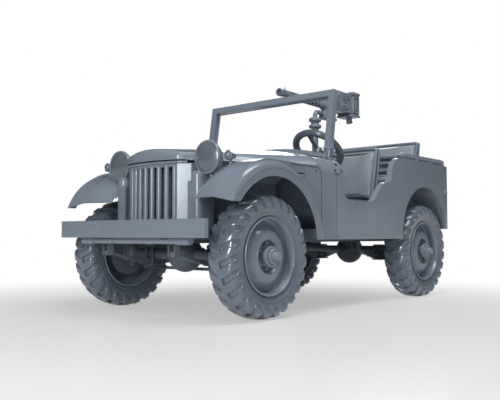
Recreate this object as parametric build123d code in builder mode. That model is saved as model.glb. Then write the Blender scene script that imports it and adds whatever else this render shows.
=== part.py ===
"""Open light four-wheel-drive army field car, as separate pieces.

Millimetres. X points forward, Y to the car's left and Z up. The origin is on the
ground, on the centreline, midway between the bumper's face and the tow hook's end.
"""

from build123d import *
import os
from math import atan2, cos, hypot, radians, sin, sqrt, tan

os.makedirs("parts", exist_ok=True)

# ---------------------------------------------------------------- driving sizes
SIDES = ((1, "left"), (-1, "right"))
CLEAR = 0.3  # between faces that only lie against each other
MOVE_CLEAR = 6.0  # between pieces that move past each other
RUN_FIT = 0.05  # radial, of a shaft in its bore
SHEET = 5.0  # pressed body panels

# wheels and axles
FRONT_AXLE_X = 1050.0
REAR_AXLE_X = -1050.0
AXLE_Z = 390.0
HALF_TRACK = 660.0
TYRE_R = 390.0  # over the lugs
TYRE_CROWN_R = 373.0
TYRE_BEAD_Y = 79.0
TYRE_WALL = 16.0
LUG_COUNT = 24  # on each side of the tread
LUG_W = 56.0
LUG_LEAN = 30.0  # how far its middle line runs round the tyre, each way
LUG_IN_Y = -6.0
LUG_OUT_Y = 104.0
LUG_FOOT_R = 330.0
RIM_R = 245.0
RIM_HALF_W = 92.0
RIM_SEAT_R = 237.0
HUB_R = 45.0
CAP_R = 26.0
CAP_OUT = 155.0  # the cap's end, outward of the wheel's middle
SPINDLE_R = 22.0
SPINDLE_END = 95.0
DRUM_R = 150.0
PLATE_IN = 50.0  # the brake backing plate's inner face, inward of the wheel's middle
PLATE_T = 6.0
PLATE_R = 158.0
AXLE_TUBE_R = 38.0
DIFF_R = 121.0
KINGPIN_Y = 560.0
BALL_R = 60.0
CUP_WALL = 14.0
KINGPIN_BOSS_R = 22.0
KINGPIN_BOSS_UP = 92.0
ARM_BACK = 130.0
ARM_W = 34.0
ARM_T = 14.0
TIE_R = 13.0
TIE_END_R = 20.0
TIE_END_H = 24.0

# chassis
RAIL_Y = 320.0
RAIL_W = 50.0
RAIL_H = 80.0
RAIL_TOP = 550.0
RAIL_WALL = 6.0
RAIL_REAR_X = -1448.0
CROSS_W = 60.0
SPRING_W = 44.0
LEAF_T = 7.0
LEAF_COUNT = 5
SPRING_HALF = 410.0
SPRING_RISE = 66.0
EYE_R = 17.0
HANGER_T = 8.0
HANGER_HALF_X = 24.0
U_BOLT_R = 7.0
U_BOLT_X = 46.0
SADDLE_T = 12.0

# bumper and the tow tube below it
BUMPER_FACE_X = 1578.0
BUMPER_T = 39.0
BUMPER_HALF_W = 689.0
BUMPER_LOW = 505.0
BUMPER_TOP = 617.0
TOW_TUBE_X = 1511.0
TOW_TUBE_Z = 487.0
TOW_TUBE_R = 21.0
TOW_TUBE_HALF = 515.0
TOW_END_LEN = 50.0
SLEEVE_R = 25.0
SLEEVE_LEN = 60.0
COLLAR_R = 27.0
COLLAR_LEN = 10.0

# body
BODY_Y = 760.0
WALL_T = 45.0
SILL_Z = 492.0
SIDE_TOP = 1143.0
REAR_X = -1494.0
REAR_LOW = 578.0
ARCH_Z = 528.0
ARCH_R = 403.0
LINER_R = 412.0
LINER_IN_Y = 500.0
FLOOR_T = 6.0
JOIN_X = 324.0  # body side meets cowl
SEAM_X = 512.0  # cowl meets fender and hood
COWL_REAR_X = 226.0
COWL_STEP_Z = 968.0
COWL_WALL = 12.0
DASH_LOW = 935.0
DASH_T = 8.0
DASH_HALF_W = 640.0
FIREWALL_X = 440.0
CROWN_Z = 1150.0
CREASE_Y = 638.0
CREASE_Z = 1066.0
SHOULDER_Z = 955.0
TOE_X = 300.0
TOE_T = 8.0
TOE_TOP = 760.0

# fenders
FENDER_Y = 800.0
FENDER_IN_Y = 360.0
FENDER_X = 1055.0
FENDER_Z = 570.0
FENDER_R = 424.0
FENDER_TAIL_Z = 988.0
LIP_Z = 748.0
LIP_OUT_Z = 715.0
LIP_KNEE_Y = 630.0
APRON_X = 1338.0
APRON_TOP = 862.0
STRIP_LOW = 884.0
STRIP_REAR_X = 900.0
WHEEL_ARCH_X = 1045.0
WHEEL_ARCH_Z = 447.0
WHEEL_ARCH_R = 440.0
FLANGE_R = 487.0
FLANGE_ROLL_R = 538.0

# hood and radiator shell
HOOD_LOW = 1000.0
HOOD_FRONT_X = 1300.0
HOOD_FRONT_CREASE_Y = 296.0
HOOD_FRONT_CREASE_Z = 1046.0
HOOD_FRONT_CROWN = 1089.0
HOOD_FRONT_LOW_Y = 302.0
HOOD_REAR_LOW_Y = 728.0
HOOD_T = 5.0
HOOD_HINGE_X = 515.0
HOOD_HINGE_Z = 1156.0
HOOD_HINGE_R = 5.0
HOOD_HINGE_HALF = 40.0
HOOD_OVERHANG = 14.0
SHELL_ARC_R = 600.0
SHELL_FACE_X = 1396.0
GRILLE_HALF_Y = 230.0
SHELL_CORNER_X = 1300.0
SHELL_CORNER_Y = 304.0
SHELL_BACK_X = 1245.0
SHELL_TOP = 978.0
SHELL_LOW = RAIL_TOP + CLEAR
BAR_R = 18.0
BAR_COUNT = 8
BAR_PITCH = 61.0
GRILLE_RAIL_H = 22.0
SHELL_SPREAD = 14.0
CORE_X = 1250.0
CORE_T = 56.0
CORE_TOP = 955.0
CORE_HALF_W = 235.0

# lamps
LAMP_X = 1285.0
LAMP_Y = 428.0
LAMP_Z = 1009.0
LAMP_R = 107.0
LAMP_DEPTH = 100.0
LENS_DOME = 24.0
BEZEL_W = 9.0
MARKER_X = 1266.0
MARKER_Y = 588.0
MARKER_Z = 1010.0
MARKER_R = 32.0
MARKER_DEPTH = 60.0
BEZEL_BACK = 14.0
LAMP_FOOT_BACK = 45.0
LAMP_FOOT_Z = 860.0
MARKER_FOOT_BACK = 24.0
MARKER_FOOT_Z = 900.0

# windscreen
SCREEN_TOP_X = 132.0
SCREEN_TOP_Z = 1604.0
SCREEN_HALF_W = 620.0
SCREEN_BAR = 47.0
SCREEN_T = 50.0
HINGE_X = 203.0
HINGE_Z = 1158.0
HINGE_BOSS_R = 16.0
SCREEN_FOOT_Z = 1086.0
HINGE_PIN_R = 6.0
SCREEN_LOW_BAR = 34.0

# steering
COLUMN_Y = 340.0
WHEEL_X = -58.0
WHEEL_Z = 1186.0
COLUMN_TILT = 49.0  # above the horizontal
TILT = radians(COLUMN_TILT)
STEER_R = 213.0  # over the rim
STEER_RIM_R = 27.0  # of the rim's own section
COLUMN_R = 22.0
STEER_HUB_R = 34.0

# seats and rails
SEAT_IN_Y = 150.0
SEAT_OUT_Y = 622.0
SEAT_TOP_Z = 1239.0
SEAT_TOP_X = -505.0
SEAT_FOOT_X = -420.0
SEAT_LOW_Z = 700.0
SEAT_T = 75.0
SEAT_FRONT_X = 20.0
CUSHION_T = 95.0
REAR_SEAT_HALF_W = 580.0
REAR_SEAT_TOP_Z = 1370.0
REAR_SEAT_X = -1290.0
REAR_SEAT_T = 70.0
REAR_SEAT_LEAN = 60.0
REAR_CUSHION_LEN = 480.0
TOP_RAIL_FRONT_X = -626.0
TOP_RAIL_REAR_X = -1457.0
TOP_RAIL_LOW = 1157.0
TOP_RAIL_TOP = 1197.0
TOP_RAIL_T = 34.0

# gun mount; fore and aft places are from the post's axis, along the gun
POST_X = -600.0
POST_Y = -63.0
POST_R = 28.0
POST_FOOT_R = 90.0
POST_FOOT_T = 12.0
PIVOT_R = 20.0
COLLAR_BIG_R = 56.0
NECK_R = 42.0
GUN_YAW = 3.5
TRUNNION_BACK = -160.0
TRUNNION_Z = 1633.0
TRUNNION_R = 8.0
LOW_COLLAR_DROP = 167.0  # below the trunnion
LOW_COLLAR_H = 36.0
HIGH_COLLAR_DROP = 109.0
HIGH_COLLAR_H = 38.0
ARM_DROP = 12.0
ARM_BEND = 45.0
ARM_R = 20.0
FORK_T = 9.0
FORK_IN = 26.0
FORK_EYE_R = 17.0
FORK_FRONT = 35.0  # from the trunnion
FORK_REAR = -170.0
FORK_LOW = -60.0
FORK_REAR_TOP = -37.0
LUG_HALF = 17.0
JACKET_R = 33.0
JACKET_BORE_R = 22.0
JACKET_RISE = 64.0
MUZZLE = 567.0
MUZZLE_DEPTH = 32.0
GUN_LOW = 36.0
GUN_MID_TOP = 183.0
GUN_HALF_W = 50.0
GUN_BOX_FRONT = -550.0
GUN_BOX_REAR = -677.0
GUN_BOX_HALF_W = 85.0
GUN_BOX_TOP = 222.0
GUN_LID_T = 25.0
GUN_LIP = 6.0
COVER_FRONT = -345.0
COVER_TOP = 233.0
GRIP_AT = -615.0
GRIP_R = 30.0
GRIP_LEN = 74.0
GRIP_LEAN = 18.0

# engine and drive line
ENGINE_X = 930.0
ENGINE_LEN = 560.0
ENGINE_W = 330.0
ENGINE_LOW = 545.0
ENGINE_H = 400.0
MOUNT_T = 24.0
GEARBOX_REAR_X = 230.0
GEARBOX_Z = 580.0
GEARBOX_R = 104.0
TRANSFER_X = 120.0
TRANSFER_LEN = 300.0
TRANSFER_W = 250.0
TRANSFER_LOW = 408.0
TRANSFER_H = 180.0
SHAFT_Z = 430.0
SHAFT_R = 24.0
FLANGE_OUT = 24.0
TUNNEL_HALF_W = 146.0
TUNNEL_TOP = 700.0
TUNNEL_REAR_X = -60.0
EXHAUST_Y = -215.0
EXHAUST_Z = 430.0
EXHAUST_PIPE_R = 20.0
EXHAUST_REAR_X = -880.0
EXHAUST_FRONT_X = 600.0
MUFFLER_REAR_X = -500.0
MUFFLER_LEN = 320.0
MUFFLER_HALF_W = 60.0
MUFFLER_H = 80.0

# tow hook
HOOK_END_X = -1578.0
HOOK_Z = 515.0
HOOK_RING_R = 42.0
HOOK_HOLE_R = 20.0


def finish(built, label):
    """Label a finished piece and write its file."""
    built.part.label = label
    export_step(built.part, f"parts/{label}.step")


def wheel_plane(x, side):
    """Half-section plane of a wheel: local x is radial, local y points outboard."""
    return Plane(origin=(x, side * HALF_TRACK, AXLE_Z), x_dir=(1, 0, 0), z_dir=(0, 0, side))


def wheel_axis(x, side):
    return Axis((x, side * HALF_TRACK, AXLE_Z), (0, side, 0))


WHEELS = (
    # name, axle x, side
    ("front_left", FRONT_AXLE_X, 1),
    ("front_right", FRONT_AXLE_X, -1),
    ("rear_left", REAR_AXLE_X, 1),
    ("rear_right", REAR_AXLE_X, -1),
)

# ---------------------------------------------------------------- wheels and tyres
DISC_SECTION = (
    # radius, outward of the wheel's middle
    (0, CAP_OUT),
    (CAP_R, CAP_OUT),
    (CAP_R, 112),
    (HUB_R, 112),
    (HUB_R, 34),
    (100, 34),
    (100, 66),
    (106, 73),
    (114, 75),
    (160, 62),
    (200, 30),
    (222, 22),
    (229, 26),
    (229, 72),
    (236, RIM_HALF_W),
    (RIM_R, RIM_HALF_W),
    (RIM_R, RIM_HALF_W - 10),
    (RIM_SEAT_R, RIM_HALF_W - 12),
    (RIM_SEAT_R, 12 - RIM_HALF_W),
    (RIM_R, 10 - RIM_HALF_W),
    (RIM_R, -RIM_HALF_W),
    (236, -RIM_HALF_W),
    (230, -74),
    (230, 12),
    (205, 16),
    (166, 48),
    (114, 62),
    (DRUM_R, 26),
    (DRUM_R, -38),
    (DRUM_R - 8, -38),
    (DRUM_R - 8, 18),
    (62, 18),
    (62, -10),
    (SPINDLE_R + RUN_FIT, -10),
    (SPINDLE_R + RUN_FIT, 100),
    (0, 100),
)


def build_wheel(name, x, side):
    with BuildPart() as wheel:
        with BuildSketch(wheel_plane(x, side)):
            with BuildLine():
                Polyline(*DISC_SECTION, close=True)
            make_face()
        revolve(axis=wheel_axis(x, side))
    finish(wheel, f"wheel_{name}")


CARCASS = (
    # radius, half width
    (RIM_SEAT_R, TYRE_BEAD_Y),
    (RIM_R + 1, TYRE_BEAD_Y),
    (272, 92),
    (310, 98),
    (342, 95),
    (364, 84),
    (TYRE_CROWN_R, 0),
)
CAVITY = (
    (RIM_SEAT_R - 1, TYRE_BEAD_Y - TYRE_WALL),
    (342, 95 - TYRE_WALL),
    (TYRE_CROWN_R - TYRE_WALL, 60),
)
# the lug's top, from the tyre's middle down over the shoulder to the side wall
LUG_OUTLINE = (
    # radius, across the tyre
    (LUG_FOOT_R, LUG_IN_Y),
    (385.4, LUG_IN_Y),
    (388.4, 50),
    (378.5, 84),
    (352, 99),
    (338, 99),
    (LUG_FOOT_R, 92),
)


def both_sides(section):
    """Section closed by its mirror image across the tyre's middle."""
    return [*section, *((radius, -half) for radius, half in reversed(section) if half)]


with BuildPart() as lug:
    with BuildSketch(Plane.YZ.offset(LUG_FOOT_R)):
        with BuildLine():
            Polyline(
                (LUG_IN_Y, -LUG_LEAN - LUG_W / 2),
                (LUG_OUT_Y, LUG_LEAN - LUG_W / 2),
                (LUG_OUT_Y, LUG_LEAN + LUG_W / 2),
                (LUG_IN_Y, -LUG_LEAN + LUG_W / 2),
                close=True,
            )
        make_face()
    extrude(amount=TYRE_R - LUG_FOOT_R)
    with BuildSketch(Plane.XY.offset(-LUG_LEAN - LUG_W)):
        with BuildLine():
            Polyline(*LUG_OUTLINE, close=True)
        make_face()
    extrude(amount=2 * (LUG_LEAN + LUG_W), mode=Mode.INTERSECT)

lug_pitch = 360 / LUG_COUNT
far_lug = mirror(lug.part, about=Plane.XZ)
with BuildPart() as plain_tyre:
    with BuildSketch(Plane.XY):
        with BuildLine():
            Polyline(*both_sides(CARCASS), close=True)
        make_face()
        with BuildLine():
            Polyline(*both_sides(CAVITY), close=True)
        make_face(mode=Mode.SUBTRACT)
    revolve(axis=Axis.Y)
    add([lug.part.rotate(Axis.Y, lug_pitch * turn) for turn in range(LUG_COUNT)])
    add([far_lug.rotate(Axis.Y, lug_pitch * (turn + 0.5)) for turn in range(LUG_COUNT)])


def build_tyre(name, x, side):
    with BuildPart() as tyre:
        with Locations((x, side * HALF_TRACK, AXLE_Z)):
            add(plain_tyre.part)
    finish(tyre, f"tyre_{name}")


for wheel_name, wheel_x, wheel_side in WHEELS:
    build_wheel(wheel_name, wheel_x, wheel_side)
    build_tyre(wheel_name, wheel_x, wheel_side)

# ---------------------------------------------------------------- axles and knuckles
PLATE_Y = HALF_TRACK - PLATE_IN

with BuildPart() as front_axle:
    with BuildSketch(Plane.XZ.offset(-KINGPIN_Y)) as tube_end:
        with Locations((FRONT_AXLE_X, AXLE_Z)):
            Circle(AXLE_TUBE_R)
    extrude(amount=2 * KINGPIN_Y)
    with Locations((FRONT_AXLE_X, 0, AXLE_Z)):
        Sphere(DIFF_R)
    with Locations((FRONT_AXLE_X, KINGPIN_Y, AXLE_Z), (FRONT_AXLE_X, -KINGPIN_Y, AXLE_Z)):
        Sphere(BALL_R)
    with BuildSketch(Plane.YZ.offset(FRONT_AXLE_X - DIFF_R - 40)):
        with Locations((0, AXLE_Z)):
            Circle(46)
    extrude(amount=120)
finish(front_axle, "front_axle")

with BuildPart() as rear_axle:
    with BuildSketch(Plane.XZ.offset(-PLATE_Y)):
        with Locations((REAR_AXLE_X, AXLE_Z)):
            Circle(AXLE_TUBE_R)
    extrude(amount=2 * PLATE_Y)
    with Locations((REAR_AXLE_X, 0, AXLE_Z)):
        Sphere(DIFF_R)
    with BuildSketch(Plane.YZ.offset(REAR_AXLE_X + DIFF_R - 80)):
        with Locations((0, AXLE_Z)):
            Circle(46)
    extrude(amount=120)
    for side, _ in SIDES:
        with BuildSketch(Plane(origin=(REAR_AXLE_X, side * PLATE_Y, AXLE_Z), z_dir=(0, side, 0))):
            Circle(PLATE_R)
        extrude(amount=PLATE_T)
        with BuildSketch(Plane(origin=(REAR_AXLE_X, side * PLATE_Y, AXLE_Z), z_dir=(0, side, 0))):
            Circle(50)
        extrude(amount=PLATE_T + 24)
        with BuildSketch(Plane(origin=(REAR_AXLE_X, side * PLATE_Y, AXLE_Z), z_dir=(0, side, 0))):
            Circle(SPINDLE_R)
        extrude(amount=PLATE_IN + SPINDLE_END)
finish(rear_axle, "rear_axle")


def build_knuckle(side, name):
    pin = (FRONT_AXLE_X, side * KINGPIN_Y, AXLE_Z)
    plate = Plane(origin=(FRONT_AXLE_X, side * PLATE_Y, AXLE_Z), z_dir=(0, side, 0))
    with BuildPart() as knuckle:
        with Locations(pin):
            Sphere(BALL_R + 0.5 + CUP_WALL)
            Cylinder(KINGPIN_BOSS_R, 2 * KINGPIN_BOSS_UP)
        with BuildSketch(plate):
            Circle(PLATE_R)
        extrude(amount=PLATE_T)
        with BuildSketch(plate):
            Circle(50)
        extrude(amount=PLATE_T + 24)
        with BuildSketch(plate):
            Circle(SPINDLE_R)
        extrude(amount=PLATE_IN + SPINDLE_END)
        with Locations(pin):
            Sphere(BALL_R + 0.5, mode=Mode.SUBTRACT)
        # the cup is open towards the axle tube
        with Locations((FRONT_AXLE_X, side * (KINGPIN_Y - 8 - 100), AXLE_Z)):
            Box(400, 200, 2 * (BALL_R + 0.5 + CUP_WALL) - 4, mode=Mode.SUBTRACT)
        with Locations((FRONT_AXLE_X - ARM_BACK / 2, side * KINGPIN_Y, AXLE_Z - KINGPIN_BOSS_UP + ARM_T / 2)):
            Box(ARM_BACK, ARM_W, ARM_T)
        with Locations((FRONT_AXLE_X - ARM_BACK, side * KINGPIN_Y, AXLE_Z - KINGPIN_BOSS_UP + ARM_T / 2)):
            Cylinder(TIE_END_R, ARM_T)
    finish(knuckle, f"knuckle_{name}")


for side, side_name in SIDES:
    build_knuckle(side, side_name)

TIE_TOP = AXLE_Z - KINGPIN_BOSS_UP - 2 * CLEAR
with BuildPart() as tie_rod:
    with BuildSketch(Plane.XZ.offset(-KINGPIN_Y)):
        with Locations((FRONT_AXLE_X - ARM_BACK, TIE_TOP - TIE_END_H / 2)):
            Circle(TIE_R - 2)
    extrude(amount=2 * KINGPIN_Y)
    with Locations(
        (FRONT_AXLE_X - ARM_BACK, KINGPIN_Y, TIE_TOP - TIE_END_H / 2),
        (FRONT_AXLE_X - ARM_BACK, -KINGPIN_Y, TIE_TOP - TIE_END_H / 2),
    ):
        Cylinder(TIE_END_R, TIE_END_H)
finish(tie_rod, "tie_rod")

# ---------------------------------------------------------------- springs
SPRING_TOP = AXLE_Z - AXLE_TUBE_R - CLEAR
SPRING_R = (SPRING_HALF**2 + SPRING_RISE**2) / (2 * SPRING_RISE)
EYE_Z = SPRING_TOP + SPRING_RISE - EYE_R + LEAF_T / 2


def build_springs(axle_x, name):
    centre_z = SPRING_TOP + SPRING_R
    with BuildPart() as springs:
        for y in (RAIL_Y, -RAIL_Y):
            plane = Plane(origin=(axle_x, y + SPRING_W / 2, 0), x_dir=(1, 0, 0), z_dir=(0, -1, 0))
            for leaf in range(LEAF_COUNT):
                inner = SPRING_R + leaf * LEAF_T
                outer = inner + LEAF_T
                half = SPRING_HALF * (1 - 0.17 * leaf)
                inner_z = centre_z - sqrt(inner**2 - half**2)
                outer_z = centre_z - sqrt(outer**2 - half**2)
                with BuildSketch(plane):
                    with BuildLine():
                        ThreePointArc((-half, inner_z), (0, centre_z - inner), (half, inner_z))
                        Line((half, inner_z), (half, outer_z))
                        ThreePointArc((half, outer_z), (0, centre_z - outer), (-half, outer_z))
                        Line((-half, outer_z), (-half, inner_z))
                    make_face()
                extrude(amount=SPRING_W)
            with BuildSketch(plane):
                with Locations((-SPRING_HALF, EYE_Z), (SPRING_HALF, EYE_Z)):
                    Circle(EYE_R)
            extrude(amount=SPRING_W)
            # clamp plate below, bars over the axle tube and the bolts between them
            plate_z = SPRING_TOP - LEAF_COUNT * LEAF_T - SADDLE_T / 2
            bar_z = AXLE_Z + AXLE_TUBE_R + CLEAR + SADDLE_T / 2
            with Locations((axle_x, y, plate_z)):
                Box(2 * U_BOLT_X + 30, SPRING_W + 50, SADDLE_T)
            for dy in (-SPRING_W / 2 - 10, SPRING_W / 2 + 10):
                with Locations((axle_x, y + dy, bar_z)):
                    Box(2 * U_BOLT_X + 2 * U_BOLT_R, 2 * U_BOLT_R, SADDLE_T)
                for dx in (-U_BOLT_X, U_BOLT_X):
                    with BuildSketch(Plane.XY.offset(plate_z)):
                        with Locations((axle_x + dx, y + dy)):
                            Circle(U_BOLT_R)
                    extrude(amount=bar_z - plate_z)
    finish(springs, name)


build_springs(FRONT_AXLE_X, "front_springs")
build_springs(REAR_AXLE_X, "rear_springs")

# ---------------------------------------------------------------- chassis frame
RAIL_LOW = RAIL_TOP - RAIL_H
RAIL_FRONT_X = BUMPER_FACE_X - BUMPER_T
RAIL_NOTCH_X = TOW_TUBE_X - TOW_TUBE_R - CLEAR
RAIL_NOTCH_Z = TOW_TUBE_Z + TOW_TUBE_R + CLEAR
CROSS_MEMBERS = (CORE_X, -130.0, -560.0, RAIL_REAR_X + CROSS_W / 2)
SPRING_ENDS = (
    FRONT_AXLE_X - SPRING_HALF,
    FRONT_AXLE_X + SPRING_HALF,
    REAR_AXLE_X - SPRING_HALF,
    REAR_AXLE_X + SPRING_HALF,
)

with BuildPart() as chassis_frame:
    for side, _ in SIDES:
        rail_mid = (RAIL_REAR_X, side * RAIL_Y, RAIL_TOP - RAIL_H / 2)
        rail = Plane(origin=rail_mid, z_dir=(1, 0, 0), x_dir=(0, side, 0))
        with BuildSketch(rail):
            Rectangle(RAIL_W, RAIL_H)
            with Locations((-RAIL_WALL, 0)):
                Rectangle(RAIL_W, RAIL_H - 2 * RAIL_WALL, mode=Mode.SUBTRACT)
        extrude(amount=RAIL_FRONT_X - RAIL_REAR_X)
        with Locations((RAIL_NOTCH_X + 100, side * RAIL_Y, RAIL_NOTCH_Z - 100)):
            Box(200, RAIL_W + 2, 200, mode=Mode.SUBTRACT)
        with Locations((RAIL_NOTCH_X - RAIL_WALL / 2, side * RAIL_Y, RAIL_LOW + RAIL_H / 2)):
            Box(RAIL_WALL, RAIL_W, RAIL_H)
        for end_x in SPRING_ENDS:
            for dy in (-1, 1):
                plate_y = side * RAIL_Y + dy * (SPRING_W / 2 + CLEAR + HANGER_T / 2)
                with Locations((end_x, plate_y, (RAIL_LOW + EYE_Z - EYE_R) / 2 + 2)):
                    Box(2 * HANGER_HALF_X, HANGER_T, RAIL_LOW - EYE_Z + EYE_R + 4)
            with Locations((end_x, side * RAIL_Y, RAIL_LOW - 4)):
                Box(2 * HANGER_HALF_X, SPRING_W + 2 * CLEAR + 2 * HANGER_T, 8)
    for cross_x in CROSS_MEMBERS:
        with Locations((cross_x, 0, RAIL_TOP - RAIL_H / 2)):
            Box(CROSS_W, 2 * RAIL_Y + RAIL_W - 2 * RAIL_WALL, RAIL_H - 2 * RAIL_WALL)
finish(chassis_frame, "chassis_frame")

with BuildPart() as front_bumper:
    with Locations((BUMPER_FACE_X - BUMPER_T / 2, 0, (BUMPER_LOW + BUMPER_TOP) / 2)):
        Box(BUMPER_T, 2 * BUMPER_HALF_W, BUMPER_TOP - BUMPER_LOW)
    fillet(front_bumper.edges().filter_by(Axis.Z), 4)
finish(front_bumper, "front_bumper")

with BuildPart() as tow_tube:
    with BuildSketch(Plane.XZ.offset(-TOW_TUBE_HALF)):
        with Locations((TOW_TUBE_X, TOW_TUBE_Z)):
            Circle(TOW_TUBE_R)
    extrude(amount=2 * TOW_TUBE_HALF)
    for side, _ in SIDES:
        end = Plane(origin=(TOW_TUBE_X, side * TOW_TUBE_HALF, TOW_TUBE_Z), z_dir=(0, -side, 0))
        with BuildSketch(end):
            Circle(SLEEVE_R)
        extrude(amount=TOW_END_LEN + COLLAR_LEN + SLEEVE_LEN)
        with BuildSketch(end.offset(TOW_END_LEN)):
            Circle(COLLAR_R)
        extrude(amount=COLLAR_LEN)
finish(tow_tube, "tow_tube")

with BuildPart() as tow_hook:
    # a plate on the last cross member, a shank and a towing ring
    with Locations((RAIL_REAR_X - 5, 0, HOOK_Z)):
        Box(10, 140, 56)
    with BuildSketch(Plane.YZ.offset(HOOK_END_X + HOOK_RING_R + HOOK_HOLE_R + 4)):
        with Locations((0, HOOK_Z)):
            Circle(18)
    extrude(amount=RAIL_REAR_X - HOOK_END_X - HOOK_RING_R - HOOK_HOLE_R - 4)
    with BuildSketch(Plane.XZ.offset(-18)):
        with Locations((HOOK_END_X + HOOK_RING_R, HOOK_Z)):
            Circle(HOOK_RING_R)
            Circle(HOOK_HOLE_R, mode=Mode.SUBTRACT)
    extrude(amount=36)
finish(tow_hook, "tow_hook")

# ---------------------------------------------------------------- engine and drive line
with BuildPart() as engine_block:
    with Locations((ENGINE_X, 0, ENGINE_LOW + ENGINE_H / 2)):
        Box(ENGINE_LEN, ENGINE_W, ENGINE_H)
    # mounting arms that rest on the rails
    with Locations((ENGINE_X + 60, 0, RAIL_TOP + CLEAR + MOUNT_T / 2)):
        Box(80, 2 * RAIL_Y + 20, MOUNT_T)
finish(engine_block, "engine_block")

with BuildPart() as gearbox:
    with BuildSketch(Plane.YZ.offset(GEARBOX_REAR_X)):
        with Locations((0, GEARBOX_Z)):
            Circle(GEARBOX_R)
    extrude(amount=ENGINE_X - ENGINE_LEN / 2 - CLEAR - GEARBOX_REAR_X)
    with Locations((TRANSFER_X, 0, TRANSFER_LOW + TRANSFER_H / 2)):
        Box(TRANSFER_LEN, TRANSFER_W, TRANSFER_H)
    for end, direction in ((TRANSFER_X + TRANSFER_LEN / 2, 1), (TRANSFER_X - TRANSFER_LEN / 2, -1)):
        with BuildSketch(Plane(origin=(end, 0, SHAFT_Z), z_dir=(direction, 0, 0))):
            Circle(34)
        extrude(amount=FLANGE_OUT)
finish(gearbox, "gearbox")


def shaft_between(start, end):
    """Plane at the start of a round shaft, and its length."""
    run = Vector(*end) - Vector(*start)
    return Plane(origin=start, z_dir=run.normalized()), run.length


with BuildPart() as drive_shafts:
    for start, end in (
        (
            (TRANSFER_X + TRANSFER_LEN / 2 + FLANGE_OUT + CLEAR, 0, SHAFT_Z),
            (FRONT_AXLE_X - DIFF_R - 40 - CLEAR, 0, AXLE_Z),
        ),
        (
            (TRANSFER_X - TRANSFER_LEN / 2 - FLANGE_OUT - CLEAR, 0, SHAFT_Z),
            (REAR_AXLE_X + DIFF_R + 40 + CLEAR, 0, AXLE_Z),
        ),
    ):
        plane, length = shaft_between(start, end)
        with BuildSketch(plane.offset(4)):
            Circle(SHAFT_R)
        extrude(amount=length - 8)
        for end_x, yoke in ((start, 1), (end, -1)):
            facing = 1 if (end[0] - start[0]) * yoke > 0 else -1
            with BuildSketch(Plane(origin=end_x, z_dir=(facing, 0, 0))):
                Circle(36)
            extrude(amount=14)
finish(drive_shafts, "drive_shafts")

with BuildPart() as exhaust:
    with BuildSketch(Plane.YZ.offset(MUFFLER_REAR_X)):
        with Locations((EXHAUST_Y, EXHAUST_Z)):
            Ellipse(MUFFLER_HALF_W, MUFFLER_H / 2)
    extrude(amount=MUFFLER_LEN)
    with BuildSketch(Plane.YZ.offset(EXHAUST_REAR_X)):
        with Locations((EXHAUST_Y, EXHAUST_Z)):
            Circle(EXHAUST_PIPE_R)
    extrude(amount=EXHAUST_FRONT_X - EXHAUST_REAR_X)
    # strap up to the floor
    with Locations((MUFFLER_REAR_X + MUFFLER_LEN / 2, EXHAUST_Y, (EXHAUST_Z + RAIL_TOP - CLEAR) / 2)):
        Box(24, MUFFLER_HALF_W, RAIL_TOP - CLEAR - EXHAUST_Z)
finish(exhaust, "exhaust")

# ---------------------------------------------------------------- body
FLOOR_Z = RAIL_TOP
with BuildPart() as body_floor:
    with BuildSketch(Plane.XY.offset(FLOOR_Z)):
        with BuildLine():
            Polyline(
                (FIREWALL_X, -BODY_Y + WALL_T),
                (FIREWALL_X, BODY_Y - WALL_T),
                (-600, BODY_Y - WALL_T),
                (-600, LINER_IN_Y),
                (REAR_X + WALL_T, LINER_IN_Y),
                (REAR_X + WALL_T, -LINER_IN_Y),
                (-600, -LINER_IN_Y),
                (-600, -BODY_Y + WALL_T),
                close=True,
            )
        make_face()
    extrude(amount=FLOOR_T)
    # sloping toe board
    with BuildSketch(Plane.XZ.offset(-BODY_Y + WALL_T)):
        with BuildLine():
            Polyline(
                (TOE_X, FLOOR_Z + 2),
                (TOE_X + TOE_T, FLOOR_Z + 2),
                (FIREWALL_X, TOE_TOP),
                (FIREWALL_X - TOE_T, TOE_TOP),
                close=True,
            )
        make_face()
    extrude(amount=2 * (BODY_Y - WALL_T))
    # tunnel over the gearbox
    tunnel_mid = (FLOOR_Z + TUNNEL_TOP) / 2
    tunnel_len = FIREWALL_X - TUNNEL_REAR_X
    with Locations((TUNNEL_REAR_X + tunnel_len / 2, 0, tunnel_mid)):
        Box(tunnel_len, 2 * TUNNEL_HALF_W, TUNNEL_TOP - FLOOR_Z)
    with Locations((TUNNEL_REAR_X + tunnel_len / 2 + 3, 0, tunnel_mid - 4)):
        Box(tunnel_len + 2, 2 * (TUNNEL_HALF_W - 5), TUNNEL_TOP - FLOOR_Z, mode=Mode.SUBTRACT)
finish(body_floor, "body_floor")

# outline of a body side: the door cut steps down from the rear wall
DOOR_CUT = (
    # x, z
    (-574, SIDE_TOP),
    (-475, 1118),
    (-392, 1044),
    (-350, 930),
    (-250, 905),
    (-188, 822),
    (-99, 772),
    (152, 770),
    (245, 826),
    (269, 905),
    (281, COWL_STEP_Z - CLEAR),
)


def side_outline():
    arch_front = REAR_AXLE_X + sqrt(ARCH_R**2 - (ARCH_Z - SILL_Z) ** 2)
    arch_rear = REAR_AXLE_X - sqrt(ARCH_R**2 - (REAR_LOW - ARCH_Z) ** 2)
    Polyline(
        (arch_front, SILL_Z),
        (JOIN_X, SILL_Z),
        (JOIN_X, COWL_STEP_Z - CLEAR),
        *reversed(DOOR_CUT),
        (REAR_X, SIDE_TOP),
        (REAR_X, REAR_LOW),
        (arch_rear, REAR_LOW),
    )
    ThreePointArc((arch_rear, REAR_LOW), (REAR_AXLE_X, ARCH_Z + ARCH_R), (arch_front, SILL_Z))


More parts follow.
